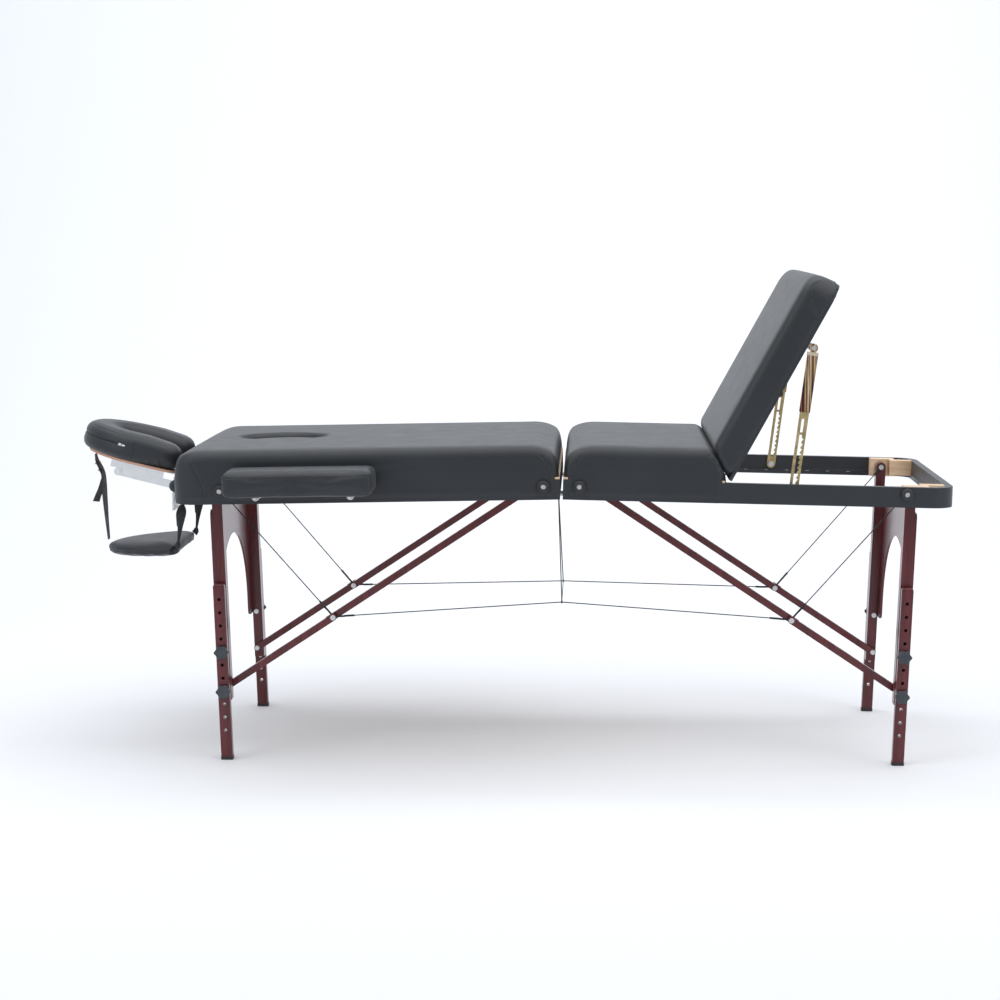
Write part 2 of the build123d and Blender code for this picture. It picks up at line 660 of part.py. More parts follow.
def backrest_brackets():
    """Return the backrest's hinge straps with their pins, and the angle brackets of its stays."""
    strap = block((10, 52), (-12, 12), (-2.2, -0.1))
    strap += rod_y(0, 0, (-3.7, 3.7), 7) + block((0, 11), (-3.7, 3.7), (-2.2, -0.1))
    strap += rod_y(0, 0, (-13, 13), PIN_DIAMETER)
    pieces = [Pos(0, side * BACK_HINGE_Y, 0) * strap for side in (-1, 1)]
    s = STAY_HEAD_ALONG
    outer = STAY_Y[0] - 4.6
    base = block((s - 20, s + 20), (outer - 22, outer), (-2.2, -0.1))
    cheek = block((s - 8, s + 8), (outer - 2, outer), (-STAY_HEAD_BEHIND, -0.1))
    cheek += rod_y(s, -STAY_HEAD_BEHIND, (outer - 2, outer), 16)
    return raised(pieces + both_sides([base + cheek]))


def seat_hinge_leaf():
    """Return the leaf and knuckles under the seat deck that carry one backrest hinge pin."""
    u, w = BACK_HINGE_U, BACK_HINGE_W
    leaf = block((360, u), (-12, 12), (RAIL_HEIGHT - 2.2, RAIL_HEIGHT - 0.1))
    leaf -= block((u - 6, u + 1), (-4, 4), (RAIL_HEIGHT - 3, RAIL_HEIGHT + 1))
    for low, high in ((-12, -4), (4, 12)):
        leaf += rod_y(u, w, (low, high), 7)
    return leaf - rod_y(u, w, (-13, 13), PIN_DIAMETER + 0.3)


def on_stay(shapes):
    """Place shapes drawn along a stay, from its foot pivot, on the raised stays."""
    rise = math.degrees(math.atan2(STAY_HEAD[1] - STAY_FOOT[1], STAY_HEAD[0] - STAY_FOOT[0]))
    return [Pos(STAY_FOOT[0], 0, STAY_FOOT[1]) * Rot(0, -rise, 0) * shape for shape in shapes]


def stay_plates():
    """Return the slotted and toothed plates of the two stays."""
    half = STAY_PLATE_WIDTH / 2
    plate = block((-half, STAY_PLATE_LENGTH), STAY_Y, (-half, half))
    plate = fillet(plate.edges().filter_by(Axis.Y).sort_by(Axis.X)[:2], half - 0.5)
    plate -= rod_y(0, 0, STAY_Y, BOLT_DIAMETER + 0.3)
    slots = [(20, 22 + TOOTH_COUNT * TOOTH_PITCH + 8), (22 + TOOTH_COUNT * TOOTH_PITCH + 14, 176)]
    for low, high in slots:
        plate -= block((low, high), STAY_Y, (-2, 4))
    for number in range(TOOTH_COUNT):
        s = 24 + number * TOOTH_PITCH
        plate -= profile_xz([(s, -1.9), (s + 9, -6.5), (s + 10.5, -1.9)], STAY_Y)
    return on_stay(both_sides([plate]))


def stay_channels():
    """Return the channels that slide on the stay plates and turn on the backrest."""
    half = STAY_PLATE_WIDTH / 2 + 0.4
    start = STAY_SPAN - CHANNEL_LENGTH
    low, high = STAY_Y[0] - 0.4, STAY_Y[1] + 0.4
    end = STAY_SPAN - 10
    channel = block((start, end), (low - 1.5, high + 1.5), (-half - 1.3, half + 1.3))
    channel += block((end - 8, end), (low - 2.1, high + 2.1), (-half - 1.9, half + 1.9))
    channel -= block((start - 1, end + 1), (low, high), (-half, half))
    channel -= block((start - 1, end + 1), (low - 3, low), (-half + 4, half - 4))
    for z in (-5.5, 5.5):
        channel -= block((start + 4, end - 11), (high + 0.8, high + 2), (z - 2.2, z + 2.2))
    channel += block((end, STAY_SPAN), (low - 1.5, high + 1.5), (-7, 7))
    channel += block((end - 2, end), (low - 1.5, high + 1.5), (-half, half))
    channel += rod_y(STAY_SPAN, 0, (low - 1.5, high + 1.5), 21)
    pin = rod_y(STAY_SPAN, 0, (low - 3.8, high + 1.7), 8)
    pin += rod_y(STAY_SPAN, 0, (high + 1.7, high + 3.2), 11)
    stopper = block((start - 12, start - 0.2), (low - 4, low - 0.1), (-5, 5))
    return on_stay(both_sides([channel - pin, pin, stopper]))


# ---- face cradle and arm sling, drawn from the hinge in u and z ----

def sloping(point, shapes):
    """Place shapes drawn level from a point on the slope of the cradle."""
    return [Pos(point[0], 0, point[1]) * Rot(0, -CRADLE_SLOPE, 0) * shape for shape in shapes]


def cradle_base():
    """Return the cradle's base plate with its ears, sling bar and the posts in the end rail."""
    u, z = CRADLE_KNOB
    face = u + CRADLE_PLATE_OUT
    plate = block((face, face + 4), (-108, 108), (z - 18, CRADLE_POST_Z + 8))
    plate += block((face, face + 4), (-134, 134), (z - 61, z - 17))
    pieces = []
    for side in (-1, 1):
        y = side * CRADLE_ARM_Y
        ear = block((u, face + 4), (y - 2, y + 2), (z - 8, z + 8)) + rod_y(u, z, (y - 2, y + 2), 22)
        ear += block((face, face + 4), sorted((side * 107, y)), (z - 8, z + 8))
        plate += ear - rod_y(u, z, (y - 3, y + 3), BOLT_DIAMETER + 0.4)
        y = side * CRADLE_POST_Y
        pieces.append(rod_between((HALF_LENGTH - 60, y, CRADLE_POST_Z), (face - 0.1, y, CRADLE_POST_Z), 12))
    bar = rod_y(*SLING_BAR, (-160, 160), 6)
    arm = block((SLING_BAR[0], face - 0.1), (-2, 2), (SLING_BAR[1] - 2, SLING_BAR[1] + 8))
    for y in (-118, 118):
        bar += Pos(0, y, 0) * arm
    return [plate] + pieces + [bar]


def cradle_arms():
    """Return the flat aluminium arms between the base and the platform brackets."""
    y = CRADLE_ARM_Y + 2.3
    arm = flat_bar(CRADLE_KNOB, CRADLE_FRONT_BOLT, 19, (y, y + 3), BOLT_DIAMETER + 0.4)
    tie = rod_y((CRADLE_KNOB[0] + CRADLE_FRONT_BOLT[0]) / 2, 660.5, (-y - 0.1, y + 0.1), 8)
    return both_sides([arm]) + [tie]


def crescent(half_width, band, length):
    """Return the flat outline of the crescent: a round front and two prongs with round tips."""
    centre = length - half_width
    inner = half_width - band
    tip = band * 0.42
    middle = half_width - band / 2
    edges = [
        Line((tip, -half_width), (centre, -half_width)),
        ThreePointArc((centre, -half_width), (length, 0), (centre, half_width)),
        Line((centre, half_width), (tip, half_width)),
        ThreePointArc((tip, half_width), (0, middle), (tip, inner)),
        Line((tip, inner), (centre, inner)),
        ThreePointArc((centre, inner), (centre + inner, 0), (centre, -inner)),
        Line((centre, -inner), (tip, -inner)),
        ThreePointArc((tip, -inner), (0, -middle), (tip, -half_width)),
    ]
    return make_face(edges)


def cradle_platform():
    """Return the crescent plywood platform and its two angle brackets."""
    length = 238.0
    board = extrude(crescent(CUSHION_HALF_WIDTH - 14, CUSHION_BAND - 26, length), PLATFORM_THICK)
    pieces = sloping(PLATFORM_START, [board])
    y = CRADLE_ARM_Y + 5.6
    flange = block((24, 158), (y - 18, y + 2.5), (-2.2, -0.1))
    web = block((24, 158), (y, y + 2.5), (-18, -0.1))
    bracket = sloping(PLATFORM_START, [flange + web])[0]
    bracket += rod_y(*CRADLE_FRONT_BOLT, (y, y + 2.5), 20)
    bracket -= rod_y(*CRADLE_FRONT_BOLT, (y - 1, y + 3), BOLT_DIAMETER + 0.4)
    bolt = rod_y(*CRADLE_FRONT_BOLT, (CRADLE_ARM_Y - 1, y + 2.6), BOLT_DIAMETER)
    bolt += rod_y(*CRADLE_FRONT_BOLT, (y + 2.6, y + 5.6), 12)
    return pieces + both_sides([bracket, bolt])


def face_cushion():
    """Return the crescent face cushion on its platform."""
    length = CUSHION_LENGTH
    cushion = extrude(crescent(CUSHION_HALF_WIDTH, CUSHION_BAND, length), CUSHION_THICK)
    cushion = fillet(cushion.edges().group_by(Axis.Z)[-1], 20)
    lift = PLATFORM_THICK + 0.3
    return sloping(PLATFORM_START, [Pos(CUSHION_START, 0, lift) * cushion])


def cradle_knob():
    """Return the round clamping knob with its bolt, and the nut on the other arm."""
    u, z = CRADLE_KNOB
    y = CRADLE_ARM_Y
    knob = rod_y(u, z, (-y - 22, -y - 6.2), 30)
    knob = chamfer(knob.edges().group_by(Axis.Y)[0], 2.5)
    knob -= rod_y(u, z, (-y - 23, -y - 17), 14)
    cap = rod_y(u, z, (-y - 19.5, -y - 17), 13.6)
    bolt = rod_y(u, z, (-y - 17, y + 5.5), BOLT_DIAMETER) + rod_y(u, z, (y + 5.5, y + 10), 12)
    return [knob - bolt, cap, bolt]


def sling_pad():
    """Return the half-moon arm pad, flat at the table side and round at the front."""
    length = math.dist(SLING_REAR, SLING_FRONT)
    slope = math.degrees(math.atan2(SLING_FRONT[1] - SLING_REAR[1], SLING_FRONT[0] - SLING_REAR[0]))
    half = Pos(length / 2, 0) * Rectangle(length, 2 * SLING_HALF_WIDTH)
    outline = Ellipse(length, SLING_HALF_WIDTH) & half
    pad = extrude(outline, 34)
    pad = fillet(pad.edges().filter_by(Axis.Z).sort_by(Axis.X)[:2], 22)
    pad = fillet(pad.edges().group_by(Axis.Z)[-1], 9)
    pad = fillet(pad.edges().group_by(Axis.Z)[0], 7)
    place = Pos(SLING_REAR[0], 0, SLING_REAR[1]) * Rot(0, -slope, 0)
    return [place * Pos(0, 0, -22) * pad]


def sling_rear_straps():
    """Return the two webbing straps from the sling bar to the rear corners of the pad."""
    u, z = SLING_BAR
    top = z - 3.4
    bottom = SLING_REAR[1] + 13.2
    pieces = []
    for side in (-1, 1):
        y = side * 132
        faces = Plane.XY.offset(bottom) * Pos(u + 8, y) * Rectangle(3, 9)
        faces += Plane.XY.offset(top) * Pos(u, y) * Rectangle(2.4, 25)
        pieces.append(loft([faces.faces()[0], faces.faces()[1]]))
    return pieces


def sling_front_strap():
    """Return the front webbing strap with its slider buckle and loose tail."""
    top = (1180.0, 715.0)
    knee = (1168.0, 672.0)
    foot = (SLING_FRONT[0] - 6, SLING_FRONT[1] + 14.4)
    pieces = []
    for start, end in ((top, knee), (knee, foot)):
        pieces.append(web(start, end, 25, 2.4))
    buckle = web((1173, 700), (1167, 680), 30, 7)
    tail = web((1171.5, 650), (1184, 590), 25, 2)
    return [pieces[0] + pieces[1] + buckle, tail]


def web(start, end, width, thick):
    """Return a straight run of webbing across Y between two points (u, z)."""
    length = math.dist(start, end)
    angle = math.degrees(math.atan2(end[1] - start[1], end[0] - start[0]))
    strip = block((0, length), (-width / 2, width / 2), (-thick / 2, thick / 2))
    return Pos(start[0], 0, start[1]) * Rot(0, -angle, 0) * strip


# ---- armrests, drawn in u and w on the +Y side ----

def armrest():
    """Return one armrest: pad, board and the two rods that plug into the side rail."""
    low, high = ARMREST_W
    pad = block(ARMREST_SPAN, ARMREST_REACH, (low + 6, high))
    pad = fillet(pad.edges().filter_by(Axis.Z), 14)
    pad = fillet(pad.edges().group_by(Axis.Z)[-1], 12)
    span = (ARMREST_SPAN[0] + 8, ARMREST_SPAN[1] - 8)
    board = block(span, (ARMREST_REACH[0] + 4, ARMREST_REACH[1] - 8), (low, low + 5.9))
    pieces = [pad, board]
    for u in ROD_SPOTS:
        rod = rod_y(u, low - 5.1, (HALF_WIDTH - RAIL_THICK + 1, ARMREST_REACH[1] - 30), 10)
        pieces.append(rod)
    return pieces


def build():
    """Write every sub-part of the table."""
    os.makedirs("parts", exist_ok=True)
    rails = frame_rails()
    rod_w = ARMREST_W[0] - 5.1
    head_rails = drill_rails(rails, ROD_SPOTS, rod_w, 10.6)
    sockets = [
        rod_between((HALF_LENGTH - 61, y, CRADLE_POST_Z), (HALF_LENGTH + 9, y, CRADLE_POST_Z), 12.6)
        for y in (-CRADLE_POST_Y, CRADLE_POST_Y)
    ]
    head_rails = on_board(head_rails)
    head_rails = [rail - sockets[0] - sockets[1] for rail in head_rails]
    write("head_frame_rails", head_side(head_rails))
    write("head_corner_blocks", head_side(on_board(corner_blocks())))
    write("head_deck", head_side(on_board([head_deck()])))
    write("head_pad", head_side(on_board([head_pad()])))
    write("head_bumpers", head_side(on_board(bumpers())))
    write("head_hardware", head_side(on_board(head_hardware())))
    write("head_carry_handle", head_side(on_board(carry_handle())))
    write("face_hole_plug", head_side(on_board([face_hole_plug()])))
    write("centre_hinge_pins", foot_side(centre_hinge_pins()))
    write("foot_frame_rails", foot_side(on_board(rails)))
    write("foot_corner_blocks", foot_side(on_board(corner_blocks())))
    write("seat_deck", foot_side(on_board([seat_deck()])))
    write("seat_pad", foot_side(on_board([seat_pad()])))
    write("foot_bumpers", foot_side(on_board(bumpers())))
    write("foot_hardware", foot_side(on_board(foot_hardware())))
    write("foot_carry_handle", foot_side(on_board(carry_handle())))
    write("backrest_board", foot_side(backrest_board()))
    write("backrest_pad", foot_side(backrest_pad()))
    write("backrest_brackets", foot_side(backrest_brackets()))
    write("stay_ratchet_plates", foot_side(stay_plates()))
    write("stay_channels", foot_side(stay_channels()))
    write("drop_cables", foot_side(drop_cables()))
    write("cradle_base", head_side(cradle_base()))
    write("cradle_arms", head_side(cradle_arms()))
    write("cradle_platform", head_side(cradle_platform()))
    write("face_cushion", head_side(face_cushion()))
    write("cradle_knob", head_side(cradle_knob()))
    write("arm_sling_pad", head_side(sling_pad()))
    write("sling_rear_straps", head_side(sling_rear_straps()))
    write("sling_front_strap", head_side(sling_front_strap()))
    far_armrest = on_board(armrest())
    near_armrest = [mirror(shape, about=Plane.XZ) for shape in far_armrest]
    write("armrest_near", head_side(near_armrest))
    write("armrest_far", head_side(far_armrest))
    for half, side in (("head", head_side), ("foot", foot_side)):
        write(f"{half}_leg_posts", side(on_leg(leg_posts())))
        write(f"{half}_leg_panel", side(on_leg([leg_panel()])))
        write(f"{half}_upper_struts", side(upper_struts()))
        write(f"{half}_lower_struts", side(lower_struts()))
        write(f"{half}_end_cables", side(end_cables()))
        write(f"{half}_cross_cables", side(cross_cables()))
        for row, turned in (("far", False), ("near", True)):
            write_leg(f"{half}_{row}", side, turned)


def write_leg(name, side, near):
    """Write one leg's extension, rubber foot and two star knobs."""
    groups = {
        "leg_extension": [leg_extension()],
        "rubber_foot": [rubber_foot()],
        "upper_knob": on_leg(star_knob(UPPER_BOLT, False)),
        "lower_knob": on_leg(star_knob(LOWER_BOLT, True)),
    }
    for part, shapes in groups.items():
        if near:
            shapes = [mirror(shape, about=Plane.XZ) for shape in shapes]
        write(f"{name}_{part}", side(shapes))


if __name__ == "__main__":
    build()
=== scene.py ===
import json
import math

import bmesh
import bpy
import numpy as np
from mathutils import Matrix, Vector
from mathutils.bvhtree import BVHTree
from mathutils.kdtree import KDTree


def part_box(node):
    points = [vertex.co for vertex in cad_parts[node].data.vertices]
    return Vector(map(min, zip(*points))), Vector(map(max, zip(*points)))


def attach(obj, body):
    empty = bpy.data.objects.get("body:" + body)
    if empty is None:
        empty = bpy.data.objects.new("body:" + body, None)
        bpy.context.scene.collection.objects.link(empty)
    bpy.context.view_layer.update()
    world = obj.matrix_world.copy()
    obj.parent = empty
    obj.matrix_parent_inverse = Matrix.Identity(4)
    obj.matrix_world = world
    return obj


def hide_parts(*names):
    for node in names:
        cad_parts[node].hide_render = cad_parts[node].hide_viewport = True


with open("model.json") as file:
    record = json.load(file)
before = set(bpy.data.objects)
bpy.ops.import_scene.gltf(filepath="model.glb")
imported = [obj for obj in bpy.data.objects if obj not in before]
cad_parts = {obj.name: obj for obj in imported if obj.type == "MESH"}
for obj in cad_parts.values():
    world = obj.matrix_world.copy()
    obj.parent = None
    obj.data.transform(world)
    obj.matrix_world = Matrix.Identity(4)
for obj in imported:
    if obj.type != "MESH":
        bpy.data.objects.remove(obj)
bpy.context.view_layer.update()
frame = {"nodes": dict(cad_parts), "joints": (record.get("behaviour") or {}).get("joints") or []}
JOINTS = {joint["name"]: joint for joint in frame["joints"]}
HINGE_X, _, HINGE_Z = JOINTS["fold_first"]["pos_m"]
random = np.random.default_rng(7)

# sizes in metres, in the coordinates of one half: u out from the hinge, w above the rail underside
HALF = 0.350
SKIN = 0.0024
LENGTH = 0.925
TOP = 0.127
TILT = math.radians(1.1)
BACK_ANGLE = math.radians(62.5)
SLOPE = math.radians(13.2)
BOARD_LIFT = 0.0025
STRUT_END = 0.0165
BUMPERS = (0.042, 0.811)
BUMPER_HEIGHT = 0.031
FACE_HOLE = (0.700, 0.103, 0.075)
PAD_SEED_INSET = 0.012
ARMREST_RODS = (0.490, 0.712)
LENS_LENGTH = 81.9
CAMERA_PLACE = (HINGE_X + 0.06, -5.682, 1.2965)
CAMERA_DOWN = math.radians(7.0)
CAMERA_TURN = math.radians(2.2)

MIRROR = Matrix.Diagonal((-1, 1, 1, 1))
ON_BOARD = Matrix.Rotation(TILT, 4, "Y") @ Matrix.Translation((0, 0, BOARD_LIFT))
FOOT_HALF = Matrix.Translation((HINGE_X, 0, HINGE_Z)) @ ON_BOARD
HEAD_HALF = Matrix.Translation((HINGE_X, 0, HINGE_Z)) @ MIRROR @ ON_BOARD
BACKREST = FOOT_HALF @ Matrix.Translation((0.399, 0, 0.051)) @ Matrix.Rotation(-BACK_ANGLE, 4, "Y")
HEAD_SIDE = Matrix.Translation((HINGE_X, 0, 0)) @ MIRROR
CRADLE = HEAD_SIDE @ Matrix.Translation((0.962, 0, 0.675)) @ Matrix.Rotation(-SLOPE, 4, "Y")


# ---- materials ----

class Shader:
    """A material with a Principled shader and short ways to add texture nodes to it."""

    def __init__(self, name, color, rough, metal=0.0, coat=0.0, coat_rough=0.1, sheen=0.0, specular=0.5):
        self.material = bpy.data.materials.new(name)
        self.material.use_nodes = True
        self.tree = self.material.node_tree
        self.body = self.tree.nodes["Principled BSDF"]
        self.body.inputs["Base Color"].default_value = (*color, 1)
        self.body.inputs["Roughness"].default_value = rough
        self.body.inputs["Metallic"].default_value = metal
        self.body.inputs["Coat Weight"].default_value = coat
        self.body.inputs["Coat Roughness"].default_value = coat_rough
        self.body.inputs["Sheen Weight"].default_value = sheen
        self.body.inputs["Specular IOR Level"].default_value = specular
        self.place = self.node("ShaderNodeTexCoord").outputs["Object"]
        self.material.diffuse_color = (*color, 1)

    def node(self, kind, **values):
        made = self.tree.nodes.new(kind)
        for key, value in values.items():
            setattr(made, key, value)
        return made

    def link(self, out, into):
        self.tree.links.new(out, into)

    def mapped(self, scale=(1, 1, 1), turn=(0, 0, 0)):
        """Object coordinates, turned and stretched."""
        made = self.node("ShaderNodeMapping")
        made.inputs["Scale"].default_value = scale
        made.inputs["Rotation"].default_value = turn
        self.link(self.place, made.inputs["Vector"])
        return made.outputs["Vector"]

    def noise(self, scale, detail=3.0, rough=0.5, distortion=0.0, place=None):
        made = self.node("ShaderNodeTexNoise")
        made.inputs["Scale"].default_value = scale
        made.inputs["Detail"].default_value = detail
        made.inputs["Roughness"].default_value = rough
        made.inputs["Distortion"].default_value = distortion
        self.link(place or self.place, made.inputs["Vector"])
        return made.outputs["Fac"]

    def cells(self, scale):
        made = self.node("ShaderNodeTexVoronoi", feature="DISTANCE_TO_EDGE")
        made.inputs["Scale"].default_value = scale
        self.link(self.place, made.inputs["Vector"])
        return made.outputs["Distance"]

    def waves(self, scale, direction, distortion=0.0):
        made = self.node("ShaderNodeTexWave", bands_direction=direction, wave_profile="SIN")
        made.inputs["Scale"].default_value = scale
        made.inputs["Distortion"].default_value = distortion
        self.link(self.place, made.inputs["Vector"])
        return made.outputs["Fac"]

    def ramp(self, value, stops):
        made = self.node("ShaderNodeValToRGB")
        marks = made.color_ramp.elements
        while len(marks) < len(stops):
            marks.new(0.5)
        for mark, (at, color) in zip(marks, stops):
            mark.position = at
            mark.color = (*color, 1)
        self.link(value, made.inputs["Fac"])
        return made.outputs["Color"]

    def span(self, value, low, high):
        """The value, 0 to 1, spread between two numbers."""
        made = self.node("ShaderNodeMapRange")
        made.inputs["To Min"].default_value = low
        made.inputs["To Max"].default_value = high
        self.link(value, made.inputs["Value"])
        return made.outputs["Result"]

    def mixed(self, first, second, share):
        """Two values added, the second one taking the given share of 0 to 1."""
        made = self.node("ShaderNodeMath", operation="ADD")
        self.link(self.span(first, 0.0, 1 - share), made.inputs[0])
        self.link(self.span(second, 0.0, share), made.inputs[1])
        return made.outputs[0]

    def color(self, value, stops):
        self.link(self.ramp(value, stops), self.body.inputs["Base Color"])

    def roughness(self, value, low, high):
        self.link(self.span(value, low, high), self.body.inputs["Roughness"])

    def bumps(self, *layers):
        """Layers of (value, depth in metres), each on top of the one before."""
        normal = None
        for value, depth in layers:
            made = self.node("ShaderNodeBump")
            made.inputs["Distance"].default_value = depth
            made.inputs["Strength"].default_value = 1.0
            self.link(value, made.inputs["Height"])
            if normal:
                self.link(normal, made.inputs["Normal"])
            normal = made.outputs["Normal"]
        self.link(normal, self.body.inputs["Normal"])
        return self.material


def vinyl(name, color, rough):
    """Upholstery vinyl: fine pebble grain, slow ripples, and a little change of shade."""
    made = Shader(name, color, rough, sheen=0.05, specular=0.5)
    made.body.inputs["Sheen Roughness"].default_value = 0.5
    slow = made.noise(7, 3)
    made.color(slow, [(0.3, [c * 0.88 for c in color]), (0.7, [c * 1.12 for c in color])])
    made.roughness(made.noise(24, 4), rough - 0.05, rough + 0.07)
    grain = made.cells(850)
    return made.bumps((slow, 0.0015), (grain, 0.00012), (made.noise(2600, 2), 0.00005))


def stained(name, turn):
    """Reddish stained wood under gloss varnish, with the grain along one direction."""
    made = Shader(name, (0.09, 0.010, 0.013), 0.36, coat=0.35, coat_rough=0.13, specular=0.35)
    long_way = made.mapped((60, 60, 3.2), turn)
    fine_way = made.mapped((620, 620, 14), turn)
    broad = made.noise(1.0, 5, 0.6, 1.2, long_way)
    fine = made.noise(1.0, 3, 0.6, 0.2, fine_way)
    shades = [(0.28, (0.030, 0.003, 0.005)), (0.5, (0.090, 0.009, 0.012)), (0.74, (0.155, 0.019, 0.023))]
    made.color(made.mixed(broad, fine, 0.35), shades)
    made.roughness(broad, 0.24, 0.42)
    return made.bumps((fine, 0.00008), (broad, 0.0002))


def plywood(name, axis, tone=(0.74, 0.56, 0.38)):
    """Raw birch plywood: soft figure, and thin plies stacked along one axis."""
    made = Shader(name, tone, 0.62)
    figure = made.noise(1.0, 4, 0.6, 0.8, made.mapped((9, 50, 50)))
    plies = made.waves(110, axis, 0.25)
    dark = [c * f for c, f in zip(tone, (0.72, 0.66, 0.58))]
    pale = [min(1, c * 1.14) for c in tone]
    made.color(made.mixed(figure, plies, 0.3), [(0.3, dark), (0.55, tone), (0.8, pale)])
    return made.bumps((figure, 0.0002), (plies, 0.00012))


def metal(name, color, rough, spots=0.25, turn=(0, 0, 0)):
    """Plated or bare metal with drawing marks and faint patches."""
    made = Shader(name, color, rough, metal=1.0)
    patches = made.noise(90, 4, 0.6)
    made.color(patches, [(0.3, [c * (1 - spots) for c in color]), (0.65, color)])
    marks = made.noise(1.0, 2, 0.5, 0.0, made.mapped((1800, 1800, 60), turn))
    made.roughness(patches, rough - 0.06, rough + 0.14)
    return made.bumps((marks, 0.00004), (patches, 0.00015))


def streaked_painted_highlights(name, lean):
    """Drawn and lacquered dark red metal with streaks along one direction; its brass and pale streaks are
    painted highlights.
    """
    made = Shader(name, (0.4, 0.28, 0.15), 0.24, metal=0.85)
    streaks = made.noise(1.0, 2, 0.4, 0.0, made.mapped((230, 90, 5), (0, -lean, 0)))
    dark_red, brown, brass = (0.075, 0.022, 0.022), (0.32, 0.15, 0.10), (0.56, 0.42, 0.17)
    pale_highlight, red = (0.90, 0.78, 0.62), (0.16, 0.05, 0.05)
    # painted highlights: the brass and pale bands stand for highlights along the channel, while dark red,
    # brown and red are its own colour
    made.color(streaks, [(0.36, dark_red), (0.46, brown), (0.53, brass), (0.60, pale_highlight), (0.66, red)])
    made.roughness(streaks, 0.18, 0.36)
    return made.bumps((streaks, 0.00012))


def moulded(name, color, rough, pebble=900, depth=0.00012):
    """Moulded plastic or rubber with a fine moulded texture and dusty patches."""
    made = Shader(name, color, rough)
    dust = made.noise(40, 4, 0.6)
    made.color(dust, [(0.35, color), (0.75, [c * 1.5 + 0.006 for c in color])])
    made.roughness(dust, rough - 0.08, rough + 0.1)
    return made.bumps((made.cells(pebble), depth), (dust, 0.0002))


def webbing(name, color):
    """Woven nylon strap: diagonal ribs across a fine weave."""
    made = Shader(name, color, 0.7, sheen=0.35)
    ribs = made.waves(360, "DIAGONAL", 0.3)
    weave = made.waves(900, "Z", 0.2)
    made.color(ribs, [(0.2, [c * 0.6 for c in color]), (0.8, [c * 1.5 for c in color])])
    return made.bumps((ribs, 0.0004), (weave, 0.0002))


def wire_rope(name, color):
    """Steel rope in a thin dark coating, with its lay showing."""
    made = Shader(name, color, 0.5)
    lay = made.waves(700, "DIAGONAL", 0.4)
    made.color(lay, [(0.2, [c * 0.5 for c in color]), (0.8, [c * 1.8 for c in color])])
    made.roughness(made.noise(300), 0.25, 0.5)
    return made.bumps((lay, 0.0005))


STRUT_UP = Vector(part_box("foot_upper_struts")[0]), Vector(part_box("foot_upper_struts")[1])
STRUT_TURN = math.atan2(STRUT_UP[1].x - STRUT_UP[0].x - STRUT_END, STRUT_UP[1].z - STRUT_UP[0].z - STRUT_END)

STAY_WAY = JOINTS["stay_telescope"]["axis"]
STAY_TURN = math.atan2(STAY_WAY[0], STAY_WAY[2])

VINYL = vinyl("black_vinyl", (0.0120, 0.0150, 0.0195), 0.44)
RAIL_VINYL = vinyl("rail_vinyl", (0.0155, 0.0190, 0.0245), 0.42)
THREAD = webbing("thread", (0.012, 0.013, 0.016))
WOOD = stained("stained_wood", (0, 0, 0))
WOOD_FOOT = stained("stained_wood_foot_struts", (0, STRUT_TURN, 0))
WOOD_HEAD = stained("stained_wood_head_struts", (0, -STRUT_TURN, 0))
PLY = plywood("plywood_flat", "Z")
PLY_BLOCKS = plywood("plywood_blocks", "Y", (0.80, 0.60, 0.42))
PLY_EDGE = plywood("plywood_platform", "Z", (0.62, 0.36, 0.26))
STEEL = metal("zinc_steel", (0.66, 0.66, 0.67), 0.28, 0.12)
BRASS = metal("brass_steel", (0.60, 0.47, 0.24), 0.33, 0.45)
# stay channel metal, with painted highlight streaks in brass and pale tones
COPPERY = streaked_painted_highlights("channel_painted_highlights", STAY_TURN)
COLLAR = metal("brass_collar", (0.86, 0.74, 0.55), 0.25, 0.1)
ALUMINIUM = metal("aluminium", (0.86, 0.87, 0.89), 0.32, 0.06)
RUBBER = moulded("black_rubber", (0.012, 0.013, 0.015), 0.55, 500, 0.0002)
KNOB = moulded("knob_plastic", (0.028, 0.036, 0.044), 0.42)
HANDLE = moulded("handle_plastic", (0.014, 0.015, 0.017), 0.4, 700)
WEB = webbing("black_webbing", (0.012, 0.013, 0.015))
CABLE = wire_rope("coated_cable", (0.020, 0.021, 0.023))


def paint(node, *materials):
    """Give a CAD part its materials, all faces taking the first, and return its mesh."""
    mesh = frame["nodes"][node].data
    mesh.materials.clear()
    for material in materials:
        mesh.materials.append(material)
    return mesh


def soften(node, width):
    """Break the sharp edges of a CAD part in the render."""
    bevel = frame["nodes"][node].modifiers.new("soft_edges", "BEVEL")
    bevel.width = width
    bevel.segments = 2
    bevel.limit_method = "ANGLE"
    bevel.angle_limit = math.radians(40)
    bevel.harden_normals = True


# ---- shapes given by a distance function, negative inside ----

def meet(a, b, radius):
    """Where both shapes are, with the edge between them rounded."""
    inner = np.minimum(np.maximum(a + radius, b + radius), 0)
    return inner + np.hypot(np.maximum(a + radius, 0), np.maximum(b + radius, 0)) - radius


def plan_box(x, y, x_range, half, near_radius, far_radius):
    """A rectangle in plan whose corners have one radius at the start and another at the end."""
    middle = (x_range[0] + x_range[1]) / 2
    reach = (x_range[1] - x_range[0]) / 2
    radius = np.where(x > middle, far_radius, near_radius)
    gap_x = np.abs(x - middle) - reach + radius
    gap_y = np.abs(y) - half + radius
    outside = np.hypot(np.maximum(gap_x, 0), np.maximum(gap_y, 0))
    return np.minimum(np.maximum(gap_x, gap_y), 0) + outside - radius


def plan_ellipse(x, y, a, b):
    first = np.hypot(x / a, y / b) + 1e-9
    return first * (first - 1) / (np.hypot(x / a / a, y / b / b) + 1e-9)


def slope_down(distance, run, drop):
    """How far an end sinks in a quarter ellipse, and how steep it is there."""
    t = np.clip(1 - distance / run, 0, 0.995)
    root = np.sqrt(1 - t * t)
    return drop * (1 - root), drop / run * t / root


